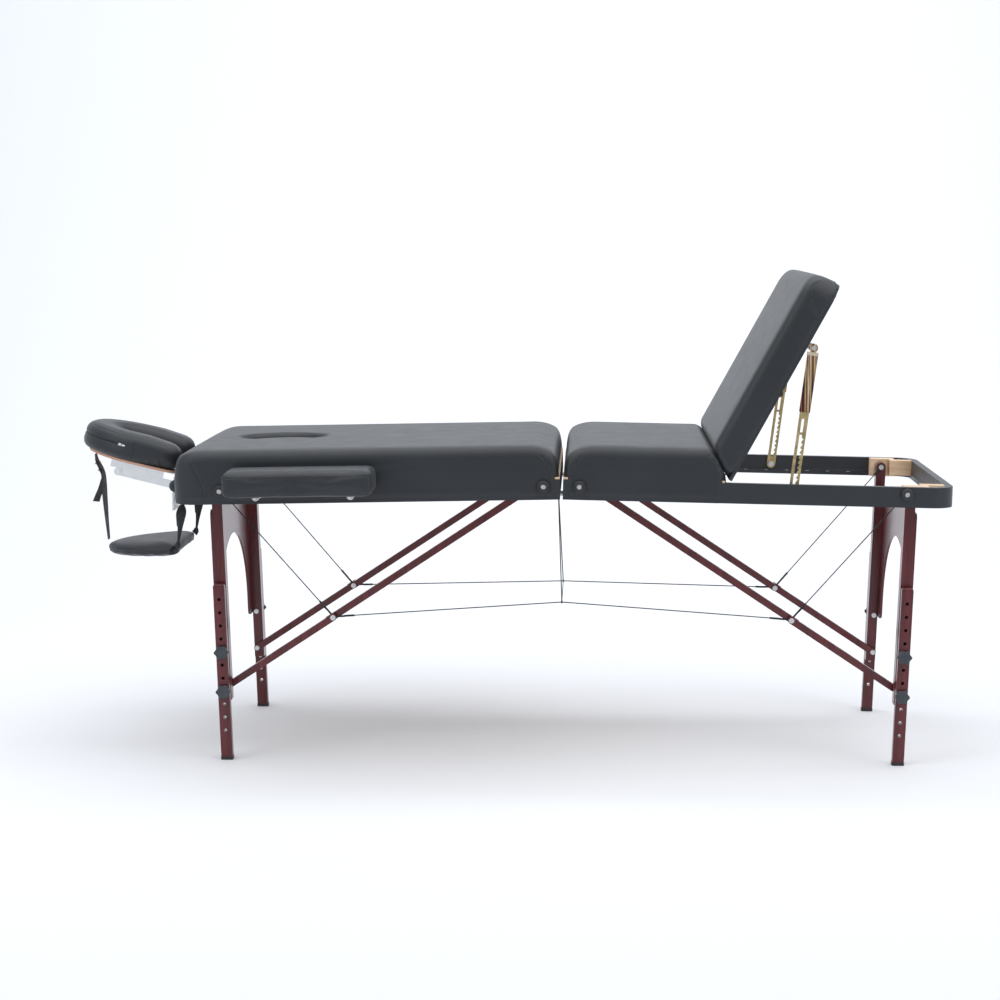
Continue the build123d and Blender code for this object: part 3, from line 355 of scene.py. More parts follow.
def prism(name, loops, low, high):
    """A closed mesh with a flat outline, holes allowed, between two heights."""
    curve = bpy.data.curves.new(name, "CURVE")
    curve.dimensions = "2D"
    curve.fill_mode = "BOTH"
    curve.extrude = (high - low) / 2
    for loop in loops:
        spline = curve.splines.new("POLY")
        spline.points.add(len(loop) - 1)
        for point, (x, y) in zip(spline.points, loop):
            point.co = (x, y, 0, 1)
        spline.use_cyclic_u = True
    made = bpy.data.objects.new(name, curve)
    bpy.context.scene.collection.objects.link(made)
    mesh = evaluated(made)
    bpy.data.objects.remove(made)
    mesh.transform(Matrix.Translation((0, 0, (low + high) / 2)))
    return mesh


def evaluated(made):
    bpy.context.view_layer.update()
    graph = bpy.context.evaluated_depsgraph_get()
    return bpy.data.meshes.new_from_object(made.evaluated_get(graph), depsgraph=graph)


def new_piece(name, mesh, material):
    made = bpy.data.objects.new(name, mesh)
    bpy.context.scene.collection.objects.link(made)
    mesh.materials.clear()
    mesh.materials.append(material)
    smooth_faces(mesh)
    return made


def piece_of(work, name, material):
    """Turn a bmesh into a piece."""
    mesh = bpy.data.meshes.new(name)
    work.to_mesh(mesh)
    work.free()
    return new_piece(name, mesh, material)


def smooth_faces(mesh):
    for face in mesh.polygons:
        face.use_smooth = True


def remeshed(mesh, voxel):
    made = bpy.data.objects.new("seed", mesh)
    bpy.context.scene.collection.objects.link(made)
    change = made.modifiers.new("voxels", "REMESH")
    change.mode = "VOXEL"
    change.voxel_size = voxel
    change.adaptivity = 0
    result = evaluated(made)
    bpy.data.objects.remove(made)
    return result


def points_of(mesh):
    flat = np.empty(len(mesh.vertices) * 3)
    mesh.vertices.foreach_get("co", flat)
    return flat.reshape(-1, 3)


def put_points(mesh, points):
    mesh.vertices.foreach_set("co", points.ravel())
    mesh.update()


def relaxed(points, pairs, share):
    """Move each point part of the way to the middle of its neighbours."""
    total = np.zeros_like(points)
    count = np.zeros(len(points))
    for a, b in ((0, 1), (1, 0)):
        np.add.at(total, pairs[:, a], points[pairs[:, b]])
        np.add.at(count, pairs[:, a], 1)
    return points + share * (total / np.maximum(count, 1)[:, None] - points)


def settled(points, pairs, shape, rounds=6):
    """Bring the points onto the surface of the shape, evenly spread."""
    step = 2e-4
    for turn in range(rounds):
        if turn < rounds - 2:
            points = relaxed(points, pairs, 0.6)
        value = shape(points)
        slope = np.empty_like(points)
        for axis in range(3):
            shift = np.zeros(3)
            shift[axis] = step
            slope[:, axis] = (shape(points + shift) - shape(points - shift)) / (2 * step)
        scale = value / np.maximum((slope ** 2).sum(1), 0.3)
        points = points - np.clip(scale, -0.02, 0.02)[:, None] * slope
    return points


def upholster(name, seed, shape, voxel, material, open_below=None):
    """A soft piece in local coordinates: a seed mesh drawn onto the surface of a shape."""
    mesh = remeshed(seed, voxel)
    pairs = np.empty(len(mesh.edges) * 2, int)
    mesh.edges.foreach_get("vertices", pairs)
    put_points(mesh, settled(points_of(mesh), pairs.reshape(-1, 2), shape))
    made = new_piece(name, mesh, material)
    if open_below:
        work = bmesh.new()
        work.from_mesh(mesh)
        doomed = [v for v in work.verts if open_below(v.co)]
        bmesh.ops.delete(work, geom=doomed, context="VERTS")
        work.to_mesh(mesh)
        work.free()
    return made


def sampled(path, gap):
    """Points evenly spaced on a smooth curve through the given points."""
    path = [Vector(p) for p in path]
    ends = [path[0] * 2 - path[1]] + path + [path[-1] * 2 - path[-2]]
    fine = []
    for a, b, c, d in zip(ends, ends[1:], ends[2:], ends[3:]):
        for k in range(40):
            t = k / 40
            fine.append(0.5 * ((2 * b) + (c - a) * t + (2 * a - 5 * b + 4 * c - d) * t * t
                               + (3 * b - a - 3 * c + d) * t ** 3))
    fine.append(path[-1])
    lengths = [0.0]
    for a, b in zip(fine, fine[1:]):
        lengths.append(lengths[-1] + (b - a).length)
    count = max(3, int(lengths[-1] / gap))
    wanted = np.linspace(0, lengths[-1], count)
    table = np.array(fine)
    return [Vector([np.interp(s, lengths, table[:, k]) for k in range(3)]) for s in wanted]


def tree_of(made):
    work = bmesh.new()
    work.from_mesh(made.data)
    tree = BVHTree.FromBMesh(work)
    work.free()
    return tree


def groove(made, path, depth, width, rounds=2):
    """Press a narrow line into the surface along a path, with finer mesh around it."""
    marks = sampled(path, 0.0015)
    finder = KDTree(len(marks))
    for index, mark in enumerate(marks):
        finder.insert(mark, index)
    finder.balance()
    work = bmesh.new()
    work.from_mesh(made.data)
    for turn in range(rounds):
        reach = width * 2.2 + 0.004 / (turn + 1)
        near = [e for e in work.edges
                if finder.find((e.verts[0].co + e.verts[1].co) / 2)[2] < reach]
        bmesh.ops.subdivide_edges(work, edges=near, cuts=1, use_grid_fill=True)
    bmesh.ops.triangulate(work, faces=[f for f in work.faces if len(f.verts) > 4])
    work.normal_update()
    moves = []
    for v in work.verts:
        away = finder.find(v.co)[2]
        if away < width * 3:
            moves.append((v, v.normal * -depth * math.exp(-(away / width) ** 2)))
    for v, move in moves:
        v.co += move
    work.to_mesh(made.data)
    work.free()
    smooth_faces(made.data)


def tube(work, points, radius, sides=6):
    """Add a closed round tube along points to a bmesh."""
    rings = []
    for index, point in enumerate(points):
        ahead = points[min(index + 1, len(points) - 1)] - points[max(index - 1, 0)]
        turn = ahead.to_track_quat("Z", "Y").to_matrix()
        ring = []
        for k in range(sides):
            angle = 2 * math.pi * k / sides
            ring.append(work.verts.new(point + turn @ Vector((math.cos(angle), math.sin(angle), 0)) * radius))
        rings.append(ring)
    for a, b in zip(rings, rings[1:]):
        for k in range(sides):
            work.faces.new((a[k], a[(k + 1) % sides], b[(k + 1) % sides], b[k]))
    work.faces.new(rings[0][::-1])
    work.faces.new(rings[-1])


def stitches(name, made, paths, material, radius=0.00045, length=0.0042, gap=0.0018):
    """Rows of thread on a soft piece, one short loop of thread per stitch."""
    tree = tree_of(made)
    work = bmesh.new()
    for path in paths:
        marks = sampled(path, (length + gap) / 4)
        for start in range(0, len(marks) - 3, 4):
            loop = []
            for k, lift in ((0, -0.0003), (1, 0.0004), (2, 0.0004), (3, -0.0003)):
                spot, normal, _, _ = tree.find_nearest(marks[start + k])
                loop.append(spot + normal * lift)
            tube(work, loop, radius, 5)
    return piece_of(work, name, material)


def sew(name, made, seams, body, matrix, rows=(0.0045,), across=None):
    """Press seams into a piece and add the stitches beside them; across gives the sideways shift."""
    tree = tree_of(made)
    flat = [[tree.find_nearest(mark)[0] for mark in sampled(seam, 0.006)] for seam in seams]
    for path in flat:
        groove(made, path, 0.0016, 0.0013)
    if not rows:
        return
    threads = []
    for path, seam_way in zip(flat, across or [Vector((1, 0, 0))] * len(flat)):
        for row in rows:
            threads.append([p + Vector(seam_way) * row for p in path])
    put_in_place(stitches(name, made, threads, THREAD), matrix, body)


def put_in_place(made, matrix, body):
    """Move a piece drawn in local coordinates to its place on a body."""
    made.data.transform(matrix)
    if matrix.determinant() < 0:
        made.data.flip_normals()
    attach(made, body)


def finish_pad(made, matrix, body, node):
    """Put a soft piece in place of its CAD solid."""
    smooth_faces(made.data)
    put_in_place(made, matrix, body)
    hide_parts(node)


def dimple(made, centre, depth, size, folds=0, fold_depth=0.0):
    """Sink a round hollow into the surface, with small folds running out of it."""
    points = points_of(made.data)
    gap = points - np.array(centre)
    away = np.hypot(gap[:, 0], gap[:, 2])
    near = np.abs(gap[:, 1]) < 0.02
    fall = np.exp(-(away / size) ** 2)
    angle = np.arctan2(gap[:, 2], gap[:, 0])
    ripple = fold_depth * np.cos(folds * angle + 0.7) * np.exp(-((away - size * 1.25) / (size * 0.6)) ** 2)
    inward = 1.0 if centre[1] < 0 else -1.0
    points[:, 1] += np.where(near, inward * (depth * fall + ripple), 0)
    put_points(made.data, points)


# ---- the three big pads ----

def pad_shape(x_range, near_radius, far_radius, near_end, far_end, base, extra=None):
    """The vinyl outside of a pad: rounded long edges, softly sinking ends, a slightly crowned top."""
    half = HALF + SKIN

    def shape(p):
        x, y, z = p[:, 0], p[:, 1], p[:, 2]
        plan = plan_box(x, y, x_range, half, near_radius, far_radius)
        sink_a, steep_a = slope_down(x - x_range[0], *near_end)
        sink_b, steep_b = slope_down(x_range[1] - x, *far_end)
        sink_side, steep_side = slope_down(half - np.abs(y), 0.05, 0.012)
        crown = 0.0015 * (1 - (y / half) ** 2) + 0.0012
        steep = np.sqrt(1 + steep_a ** 2 + steep_b ** 2 + steep_side ** 2)
        lid = (z - (TOP + crown - sink_a - sink_b - sink_side)) / steep
        both = meet(plan, lid, 0.019)
        if extra:
            both = extra(p, both)
        return meet(both, base - z, 0.003)
    return shape


def inside_skirt(x_range, edge):
    """Whether a point of a pad lies on its underside, further in than the turned-under vinyl."""
    def test(v):
        inner = min(v.x - x_range[0], x_range[1] - v.x, HALF - abs(v.y))
        return v.z < 0.0004 and inner > edge
    return test


def box_loop(x_range, half):
    return [(x_range[0], -half), (x_range[1], -half), (x_range[1], half), (x_range[0], half)]


def ellipse_loop(middle, a, b, count=48):
    return [(middle + a * math.cos(2 * math.pi * k / count), b * math.sin(2 * math.pi * k / count))
            for k in range(count)]


def end_seams(u_top, u_low, bow, z_low=0.001, z_high=0.112):
    """The seam down each side face that joins the end panel to the main sheet."""
    paths = []
    for side in (-1, 1):
        y = side * (HALF + SKIN)
        path = []
        for k in range(9):
            t = k / 8
            u = u_low + (u_top - u_low) * t ** bow
            path.append((u, y - side * 0.02 * max(0, t - 0.75), z_low + (z_high - z_low) * t))
        paths.append(path)
    return paths


def side_seed(side):
    """A seed mesh whose outline is drawn on the side of a pad and runs across the table."""
    seed = prism("seed", [side], -HALF + PAD_SEED_INSET, HALF - PAD_SEED_INSET)
    seed.transform(Matrix.Rotation(math.radians(90), 4, "X"))
    return seed


def bumper_dimple(made, u):
    """The pucker where a bumper screw draws the vinyl in."""
    dimple(made, (u, -HALF, BUMPER_HEIGHT), 0.0016, 0.017, 7, 0.0007)


def head_pad():
    span = (0.0032, LENGTH + 0.002)
    middle, a, b = FACE_HOLE

    def with_hole(p, both):
        hole = -plan_ellipse(p[:, 0] - middle, p[:, 1], a + 0.001, b + 0.001)
        return meet(both, hole, 0.013)

    shape = pad_shape(span, 0.010, 0.058, (0.075, 0.042), (0.070, 0.044), -0.0012, with_hole)
    outline = box_loop((span[0] + 0.012, span[1] - 0.014), HALF - PAD_SEED_INSET)
    loops = [outline, ellipse_loop(middle, a + 0.006, b + 0.006)]
    made = upholster("head_upholstery", prism("seed", loops, 0.004, 0.119), shape, 0.0062,
                     VINYL, inside_skirt(span, 0.013))
    for u in BUMPERS:
        bumper_dimple(made, u)
    far = end_seams(0.884, 0.846, 1.9, 0.001, 0.106)
    near = end_seams(0.045, 0.0115, 2.6, 0.001, 0.103)
    sew("head_upholstery_stitching", made, far + near, "head_half", HEAD_HALF, rows=(-0.005,),
        across=[(1, 0, 0)] * 2 + [(-1, 0, 0)] * 2)
    finish_pad(made, HEAD_HALF, "head_half", "head_pad")


def seat_pad():
    end, knee, run = 0.3914, 0.055, 0.0355
    span = (0.0032, end)
    rise = TOP - knee

    def cut_back(p, both):
        up = np.clip((p[:, 2] - knee) / rise, 0, 1)
        rear = (p[:, 0] - end + run * up ** 1.1) / math.hypot(1, run / rise)
        return meet(both, rear, 0.015)

    shape = pad_shape(span, 0.010, 0.010, (0.075, 0.042), (0.012, 0.002), -0.0012, cut_back)
    side = [(0.016, 0.004), (end - 0.012, 0.004), (end - 0.012, 0.05), (0.345, 0.118), (0.016, 0.118)]
    made = upholster("seat_upholstery", side_seed(side), shape, 0.0062, VINYL, inside_skirt(span, 0.013))
    bumper_dimple(made, BUMPERS[0])
    near = end_seams(0.045, 0.0115, 2.6, 0.001, 0.103)
    rear = []
    for way in (-1, 1):
        y = way * (HALF + SKIN)
        rear.append([(0.3835, y, 0.001), (0.3835, y, 0.045), (0.374, y, 0.072), (0.360, y, 0.096),
                     (0.346, y, 0.112)])
    sew("seat_upholstery_stitching", made, near + rear, "foot_half", FOOT_HALF, rows=(-0.005,),
        across=[(-1, 0, 0)] * 2 + [(1, 0, 0)] * 2)
    finish_pad(made, FOOT_HALF, "foot_half", "seat_pad")


def back_pad():
    """The backrest pad in its own coordinates: x up along the board, z out of the board."""
    span = (0.0004, 0.5262)
    top = 0.078
    low_line = ((0.0000, 0.007), (0.0514, 0.079))
    run, rise = low_line[1][0] - low_line[0][0], low_line[1][1] - low_line[0][1]
    across = math.hypot(run, rise)

    def shape(p):
        x, y, z = p[:, 0], p[:, 1], p[:, 2]
        half = HALF + 0.0012
        plan = plan_box(x, y, span, half, 0.008, 0.058)
        sink, steep = slope_down(span[1] - x, 0.055, 0.030)
        sink_side, steep_side = slope_down(half - np.abs(y), 0.05, 0.010)
        crown = 0.003 * (1 - (y / half) ** 2)
        lid = (z - (top + crown - sink - sink_side)) / np.sqrt(1 + steep ** 2 + steep_side ** 2)
        both = meet(plan, lid, 0.018)
        bevel = ((low_line[0][0] - x) * rise + (z - low_line[0][1]) * run) / across
        both = meet(both, bevel, 0.011)
        return meet(both, -0.0012 - z, 0.006)

    side = [(0.014, 0.004), (0.514, 0.004), (0.514, 0.068), (0.058, 0.068), (0.016, 0.012)]

    def under(v):
        inner = min(v.x - span[0], span[1] - v.x, HALF - abs(v.y))
        return v.z < 0.0012 and inner > 0.016

    made = upholster("back_upholstery", side_seed(side), shape, 0.006, VINYL, under)
    seams = []
    for way in (-1, 1):
        y = way * HALF
        seams.append([(0.436, y, 0.001), (0.440, y, 0.018), (0.450, y, 0.038), (0.468, y, 0.054),
                      (0.490, y * 0.99, 0.060), (0.512, y * 0.96, 0.050)])
    sew("back_upholstery_stitching", made, seams, "backrest", BACKREST, rows=(-0.005, 0.0045),
        across=[(0.8, 0, -0.5)] * 2)
    finish_pad(made, BACKREST, "backrest", "backrest_pad")


def plug_pad():
    middle, a, b = FACE_HOLE

    def shape(p):
        x, y, z = p[:, 0] - middle, p[:, 1], p[:, 2]
        plan = plan_ellipse(x, y, a - 0.0025, b - 0.0025)
        lid = z - (TOP - 0.0085 + 0.004 * (1 - (x / a) ** 2 - (y / b) ** 2))
        return meet(meet(plan, lid, 0.012), 0.049 - z, 0.003)

    seed = prism("seed", [ellipse_loop(middle, a - 0.008, b - 0.008)], 0.054, 0.112)
    made = upholster("plug_upholstery", seed, shape, 0.0045, VINYL)
    ring = [(x, y, 0.108) for x, y in ellipse_loop(middle, a - 0.003, b - 0.003, 32)]
    sew("plug_upholstery_stitching", made, [ring + ring[:1]], "face_plug", HEAD_HALF, rows=())
    finish_pad(made, HEAD_HALF, "face_plug", "face_hole_plug")


# ---- inflated pieces ----

def inflate(made, pressure, cap, frames=20):
    """Let the cover swell under pressure like cloth, no further than a limit, and keep the result."""
    before = points_of(made.data)
    change = made.modifiers.new("cloth", "CLOTH")
    change.settings.use_pressure = True
    change.settings.uniform_pressure_force = pressure
    change.settings.effector_weights.gravity = 0
    change.settings.quality = 5
    change.settings.tension_stiffness = 12
    change.settings.compression_stiffness = 12
    change.settings.bending_stiffness = 0.6
    change.point_cache.frame_end = frames
    scene = bpy.context.scene
    for number in range(1, frames + 1):
        scene.frame_set(number)
    after = evaluated(made)
    moved = points_of(after) - before
    length = np.linalg.norm(moved, axis=1, keepdims=True)
    made.modifiers.remove(change)
    scene.frame_set(1)
    put_points(made.data, before + moved * np.minimum(1, cap / np.maximum(length, 1e-9)))


def smoother(made, levels=1):
    change = made.modifiers.new("smooth", "SUBSURF")
    change.levels = change.render_levels = levels
    mesh = evaluated(made)
    made.modifiers.remove(change)
    old = made.data
    made.data = mesh
    bpy.data.meshes.remove(old)
    smooth_faces(mesh)


def crescent_gap(x, y, half=0.144, band=0.088, length=0.264):
    """Distance to the crescent outline: a band round a half circle, with two straight prongs."""
    centre = length - half
    middle = half - band / 2
    start = band * 0.5
    arc = np.abs(np.hypot(x - centre, y) - middle)
    along = np.clip(x, start, centre)
    prong = np.hypot(x - along, np.abs(y) - middle)
    return np.where(x > centre, arc, prong) - band / 2


def crescent_loop(half, band, length):
    centre = length - half
    inner = half - band
    quarter = math.pi / 2
    outer = half_round(centre, half, -quarter, quarter, 25)
    inside = half_round(centre, inner, quarter, -quarter, 17)
    tips = [(0.02, half - 0.02), (0.02, inner + 0.02)]
    return [(0.02, -half + 0.02)] + outer + tips + inside + [(0.02, -inner - 0.02)]


def half_round(centre, radius, start, end, count):
    """Points (x, y) on an arc about a centre on the X axis."""
    return [(centre + radius * math.cos(t), radius * math.sin(t)) for t in np.linspace(start, end, count)]


def face_cushion():
    low, high = 0.0063, 0.0763

    def shape(p):
        x, y, z = p[:, 0] + 0.008, p[:, 1], p[:, 2]
        plan = crescent_gap(x, y) - 0.0012
        waist = 0.0016 * np.cos((z - 0.041) * 85) ** 2
        lid = z - (high - 0.0035 + 0.002 * np.cos(x * 12) - 0.10 * np.maximum(0, 0.09 - x))
        return meet(meet(plan + waist, lid, 0.029), low - z, 0.012)

    seed = prism("seed", [crescent_loop(0.136, 0.072, 0.256)], 0.016, 0.066)
    seed.transform(Matrix.Translation((-0.008, 0, 0)))
    made = upholster("face_cushion_cover", seed, shape, 0.0045, VINYL)
    inflate(made, 3.0, 0.0028)
    smoother(made)
    centre, rim = 0.112, 0.1425
    top = [(x, y, 0.0645) for x, y in half_round(centre, rim - 0.012, -1.57, 1.57, 22)]
    top = [(0.03, -rim + 0.012, 0.062)] + top + [(0.03, rim - 0.012, 0.062)]
    tree = tree_of(made)
    zip_way = [(x, y, 0.0425) for x, y in half_round(centre, rim, -1.35, 1.35, 24)]
    zip_line = [tree.find_nearest(Vector(p))[0] for p in zip_way]
    sides = [[(0.105, way * rim, 0.012), (0.104, way * rim, 0.035), (0.1045, way * rim, 0.058)]
             for way in (-1, 1)]
    for path in [top] + sides:
        groove(made, [tree.find_nearest(Vector(p))[0] for p in path], 0.0011, 0.0014)
    groove(made, zip_line, 0.0030, 0.0022)
    thread_rows = [[Vector(p) + Vector((0.005, 0, 0)) for p in path] for path in sides]
    thread = stitches("face_cushion_stitching", made, thread_rows, THREAD)
    work = bmesh.new()
    for k, spot in enumerate(sampled(zip_line, 0.0028)):
        outward = Vector((spot.x - centre, spot.y, 0)).normalized()
        turn = outward.to_track_quat("Z", "Y").to_matrix().to_4x4()
        size = Matrix.Diagonal((0.0030, 0.0011, 0.0012, 1))
        offset = Vector((0, 0, 0.0008 if k % 2 else -0.0008))
        shift = Matrix.Translation(spot - outward * 0.0026 + offset)
        bmesh.ops.create_cube(work, size=1, matrix=shift @ turn @ size)
    bmesh.ops.bevel(work, geom=work.edges[:], offset=0.00025, segments=1, affect="EDGES")
    teeth = piece_of(work, "face_cushion_zip", HANDLE)
    pull = zip_pull(zip_line[0], Vector((0.15, -1, 0)).normalized())
    for piece, slot in ((thread, "black_vinyl"), (teeth, "handle_plastic"), (pull, "zinc_steel")):
        put_in_place(piece, CRADLE, "cradle_head")
    finish_pad(made, CRADLE, "cradle_head", "face_cushion")


def zip_pull(spot, outward):
    """A little metal slider with its hanging tab."""
    side = outward.cross(Vector((0, 0, 1))).normalized()
    work = bmesh.new()
    frame_of = Matrix((side, Vector((0, 0, 1)), outward)).transposed().to_4x4()
    slider = ((0, 0, 0), (0.0085, 0.0062, 0.0042))
    tab = ((0.009, -0.0006, 0.0015), (0.011, 0.0045, 0.0014))
    for shift, size in (slider, tab):
        where = Matrix.Translation(spot + side * shift[0] + Vector((0, 0, shift[1])) + outward * shift[2])
        bmesh.ops.create_cube(work, size=1, matrix=where @ frame_of @ Matrix.Diagonal((*size, 1)))
    bmesh.ops.bevel(work, geom=work.edges[:], offset=0.0006, segments=2, affect="EDGES")
    return piece_of(work, "face_cushion_zip_pull", STEEL)


def armrest(side, row):
    """An armrest pad, with a panelled top, rounded ends and its plated rods; the ply board under it is not
    made here.
    """
    x_range, y_range, low, high = (0.433, 0.787), (0.356, 0.492), 0.0312, 0.090
    middle = (y_range[0] + y_range[1]) / 2
    reach = (y_range[1] - y_range[0]) / 2

    def shape(p):
        x, y, z = p[:, 0], p[:, 1], p[:, 2]
        mid = (x_range[0] + x_range[1]) / 2
        long_way = (x - mid) / (x_range[1] - mid)
        pinch = 0.0016 * np.cos(long_way * math.pi / 2) ** 2
        gap = plan_box(x, y, x_range, reach, 0.013, 0.013) + 0.0012 + pinch * 0.7
        crown = 0.0025 * (1 - (y / reach) ** 2) + 0.001 * (1 - long_way ** 2)
        lid = z - (high - 0.003 + crown)
        return meet(meet(gap, lid, 0.014), low - z, 0.005)

    outline = box_loop((x_range[0] + 0.007, x_range[1] - 0.007), reach - 0.007)
    seed = prism("seed", [outline], low + 0.006, high - 0.008)
    made = upholster(f"armrest_{row}_cover", seed, shape, 0.0042, VINYL)
    inflate(made, 3.0, 0.0022)
    smoother(made)
    z = high - 0.0125
    a, b = x_range[0] + 0.0015, x_range[1] - 0.0015
    c, d = reach - 0.0015, 0.012
    ring = [(a + d, -c), (b - d, -c), (b, -c + d), (b, c - d),
            (b - d, c), (a + d, c), (a, c - d), (a, -c + d)]
    ring = [(x, y, z) for x, y in ring]
    rim = []
    for p, q in zip(ring, ring[1:] + ring[:1]):
        rim += [tuple(Vector(p).lerp(Vector(q), t)) for t in (0, 0.25, 0.5, 0.75)]
    corners = []
    for x in (a, b):
        inward = 1 if x == a else -1
        spots = ((0.004, 0.002, low + 0.004), (0.004, 0.002, 0.062),
                 (0.008, 0.006, high - 0.006), (0.022, 0.020, high))
        corners.append([(x + inward * along, c - across, w) for along, across, w in spots])
    for path in [rim + rim[:1]] + corners:
        groove(made, path, 0.0011, 0.0014, 1)
    rows = [[Vector(p) + Vector((0, 0, 0.0042)) for p in rim]]
    thread = stitches(f"armrest_{row}_stitching", made, rows, THREAD)
    place = HEAD_HALF @ Matrix.Diagonal((1, side, 1, 1)) @ Matrix.Translation((0, middle, 0))
    put_in_place(thread, place, f"{row}_armrest")
    put_in_place(armrest_rods(row, middle, low), place, f"{row}_armrest")
    finish_pad(made, place, f"{row}_armrest", f"armrest_{row}")


def armrest_rods(row, middle, low):
    """The two plated rods that plug into the rail, with the saddles that hold them to the board."""
    work = bmesh.new()
    for u in ARMREST_RODS:
        z = low - 0.0053
        points = [Vector((u, y - middle, z)) for y in np.linspace(0.3335, 0.458, 14)]
        tube(work, points, 0.005, 20)
        for y in (0.385, 0.440):
            arch = [Vector((u + 0.0068 * math.cos(t), y - middle, z - 0.0002 + 0.0068 * math.sin(t)))
                    for t in np.linspace(0, -math.pi, 12)]
            arch = [Vector((u + 0.016, y - middle, low))] + [arch[0] + Vector((0, 0, 0.005))] + arch
            arch += [arch[-1] + Vector((0, 0, 0.005)), Vector((u - 0.016, y - middle, low))]
            tube(work, arch, 0.0018, 8)
    return piece_of(work, f"armrest_{row}_rods", STEEL)


def sling_pad():
    """The half-moon arm pad, gathered underneath."""
    start, front = (0.947, 0.492), (1.158, 0.480)
    length = math.dist(start, front)
    slope = math.atan2(front[1] - start[1], front[0] - start[0])
    place = HEAD_SIDE @ Matrix.Translation((start[0], 0, start[1])) @ Matrix.Rotation(-slope, 4, "Y")
    place = place @ Matrix.Translation((0, 0, -0.022))

    def shape(p):
        x, y, z = p[:, 0], p[:, 1], p[:, 2]
        plan = meet(plan_ellipse(x, y, length, 0.150), -x, 0.030)
        edge = np.clip(-plan / 0.075, 0, 1)
        bulge = np.sqrt(1 - (1 - edge) ** 2)
        lid = (z - 0.0165 - 0.0175 * bulge) / 1.15
        gathers = 0.0012 * np.sin(np.arctan2(y, x + 0.02) * 26) * np.clip(1 - edge * 1.6, 0, 1)
        floor = (0.0135 - 0.0135 * bulge + gathers - z) / 1.1
        return meet(meet(plan + 0.001, lid, 0.008), floor, 0.007)

    loop = [(0.010, -0.118)] + [((length - 0.01) * math.sin(t) if t > 0.1 else 0.01, -0.142 * math.cos(t))
                                for t in np.linspace(0.12, math.pi - 0.12, 30)] + [(0.010, 0.118)]
    made = upholster("arm_sling_cover", prism("seed", [loop], 0.009, 0.027), shape, 0.004, VINYL)
    inflate(made, 3.0, 0.0022)
    smoother(made)
    rim = [(length * math.sin(t), -0.150 * math.cos(t), 0.0125) for t in np.linspace(0.2, math.pi - 0.2, 30)]
    tree = tree_of(made)
    rim = [tree.find_nearest(Vector(p))[0] for p in rim]
    groove(made, rim, 0.0014, 0.0015, 1)
    thread = stitches("arm_sling_stitching", made, [[p + Vector((0, 0, 0.005)) for p in rim]], THREAD)
    put_in_place(thread, place, "arm_sling")
    finish_pad(made, place, "arm_sling", "arm_sling_pad")


# ---- webbing ----

STRAP_SECTION = ((-1, -0.5), (-0.8, -1), (0, -1), (0.8, -1), (1, -0.5),
                 (1, 0.5), (0.8, 1), (0, 1), (-0.8, 1), (-1, 0.5))


def ribbon(work, stations, thick=0.0016):
    """A strap through stations of (point, half width, sideways direction), slightly rounded."""
    rings = []
    for index, (point, half, way) in enumerate(stations):
        ahead = stations[min(index + 1, len(stations) - 1)][0] - stations[max(index - 1, 0)][0]
        side = (way - ahead.normalized() * way.dot(ahead.normalized())).normalized()
        up = ahead.normalized().cross(side)
        ring = []
        for a, b in STRAP_SECTION:
            ring.append(work.verts.new(point + side * half * a + up * thick / 2 * b))
        rings.append(ring)
    count = len(rings[0])
    for a, b in zip(rings, rings[1:]):
        for k in range(count):
            work.faces.new((a[k], a[(k + 1) % count], b[(k + 1) % count], b[k]))
    work.faces.new(rings[0][::-1])
    work.faces.new(rings[-1])


def stations_along(path, halves, turns, gap=0.003):
    """Stations on a smooth path, with the half width and the turn from the Y axis spread along it."""
    points = sampled(path, gap)
    made = []
    for index, point in enumerate(points):
        t = index / (len(points) - 1)
        place = np.linspace(0, 1, len(halves))
        half = np.interp(t, place, halves)
        turn = math.radians(np.interp(t, np.linspace(0, 1, len(turns)), turns))
        made.append((point, half, Vector((math.sin(turn), math.cos(turn), 0))))
    return made


def side_point(u, y, z):
    """A place on the head side, from its distance to the hinge, its side and its height in mm."""
    return (HINGE_X - u / 1000, y / 1000, z / 1000)


def middle_line(*places):
    """A path in the middle plane of the head side, from (u, z) places in mm."""
    return [side_point(u, 0, z) for u, z in places]


def strap_piece(name, work, body, node, material=WEB):
    bmesh.ops.recalc_face_normals(work, faces=work.faces[:])
    made = piece_of(work, name, material)
    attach(made, body)
    if node:
        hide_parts(node)
    return made


def rear_straps():
    work = bmesh.new()
    for y in (-132, 132):
        loop = [side_point(943 + 5.2 * math.cos(t), y, 604 + 5.2 * math.sin(t))
                for t in np.linspace(-0.9, 4.0, 12)]
        ribbon(work, stations_along(loop, [0.0125] * 2, [0, 0]))
        drop = [side_point(940, y, 599), side_point(941, y, 590), side_point(944, y, 560),
                side_point(948, y, 528), side_point(951.5, y, 503)]
        halves = [0.0125, 0.0115, 0.0075, 0.0045, 0.0030]
        ribbon(work, stations_along(drop, halves, [8, 78, 84, 80, 60, 40]), 0.0022)
        fold = [side_point(944, y, 598), side_point(946.5, y, 575), side_point(949.5, y, 545)]
        ribbon(work, stations_along(fold, [0.0120, 0.0090, 0.0050], [5, 74, 80]), 0.0018)
        tuck = [side_point(951.5, y, 506), side_point(953, y * 0.99, 497), side_point(957, y * 0.98, 492)]
        ribbon(work, stations_along(tuck, [0.0045, 0.0075, 0.0085], [70, 80, 85]), 0.0022)
    strap_piece("rear_sling_webbing", work, "arm_sling", "sling_rear_straps")


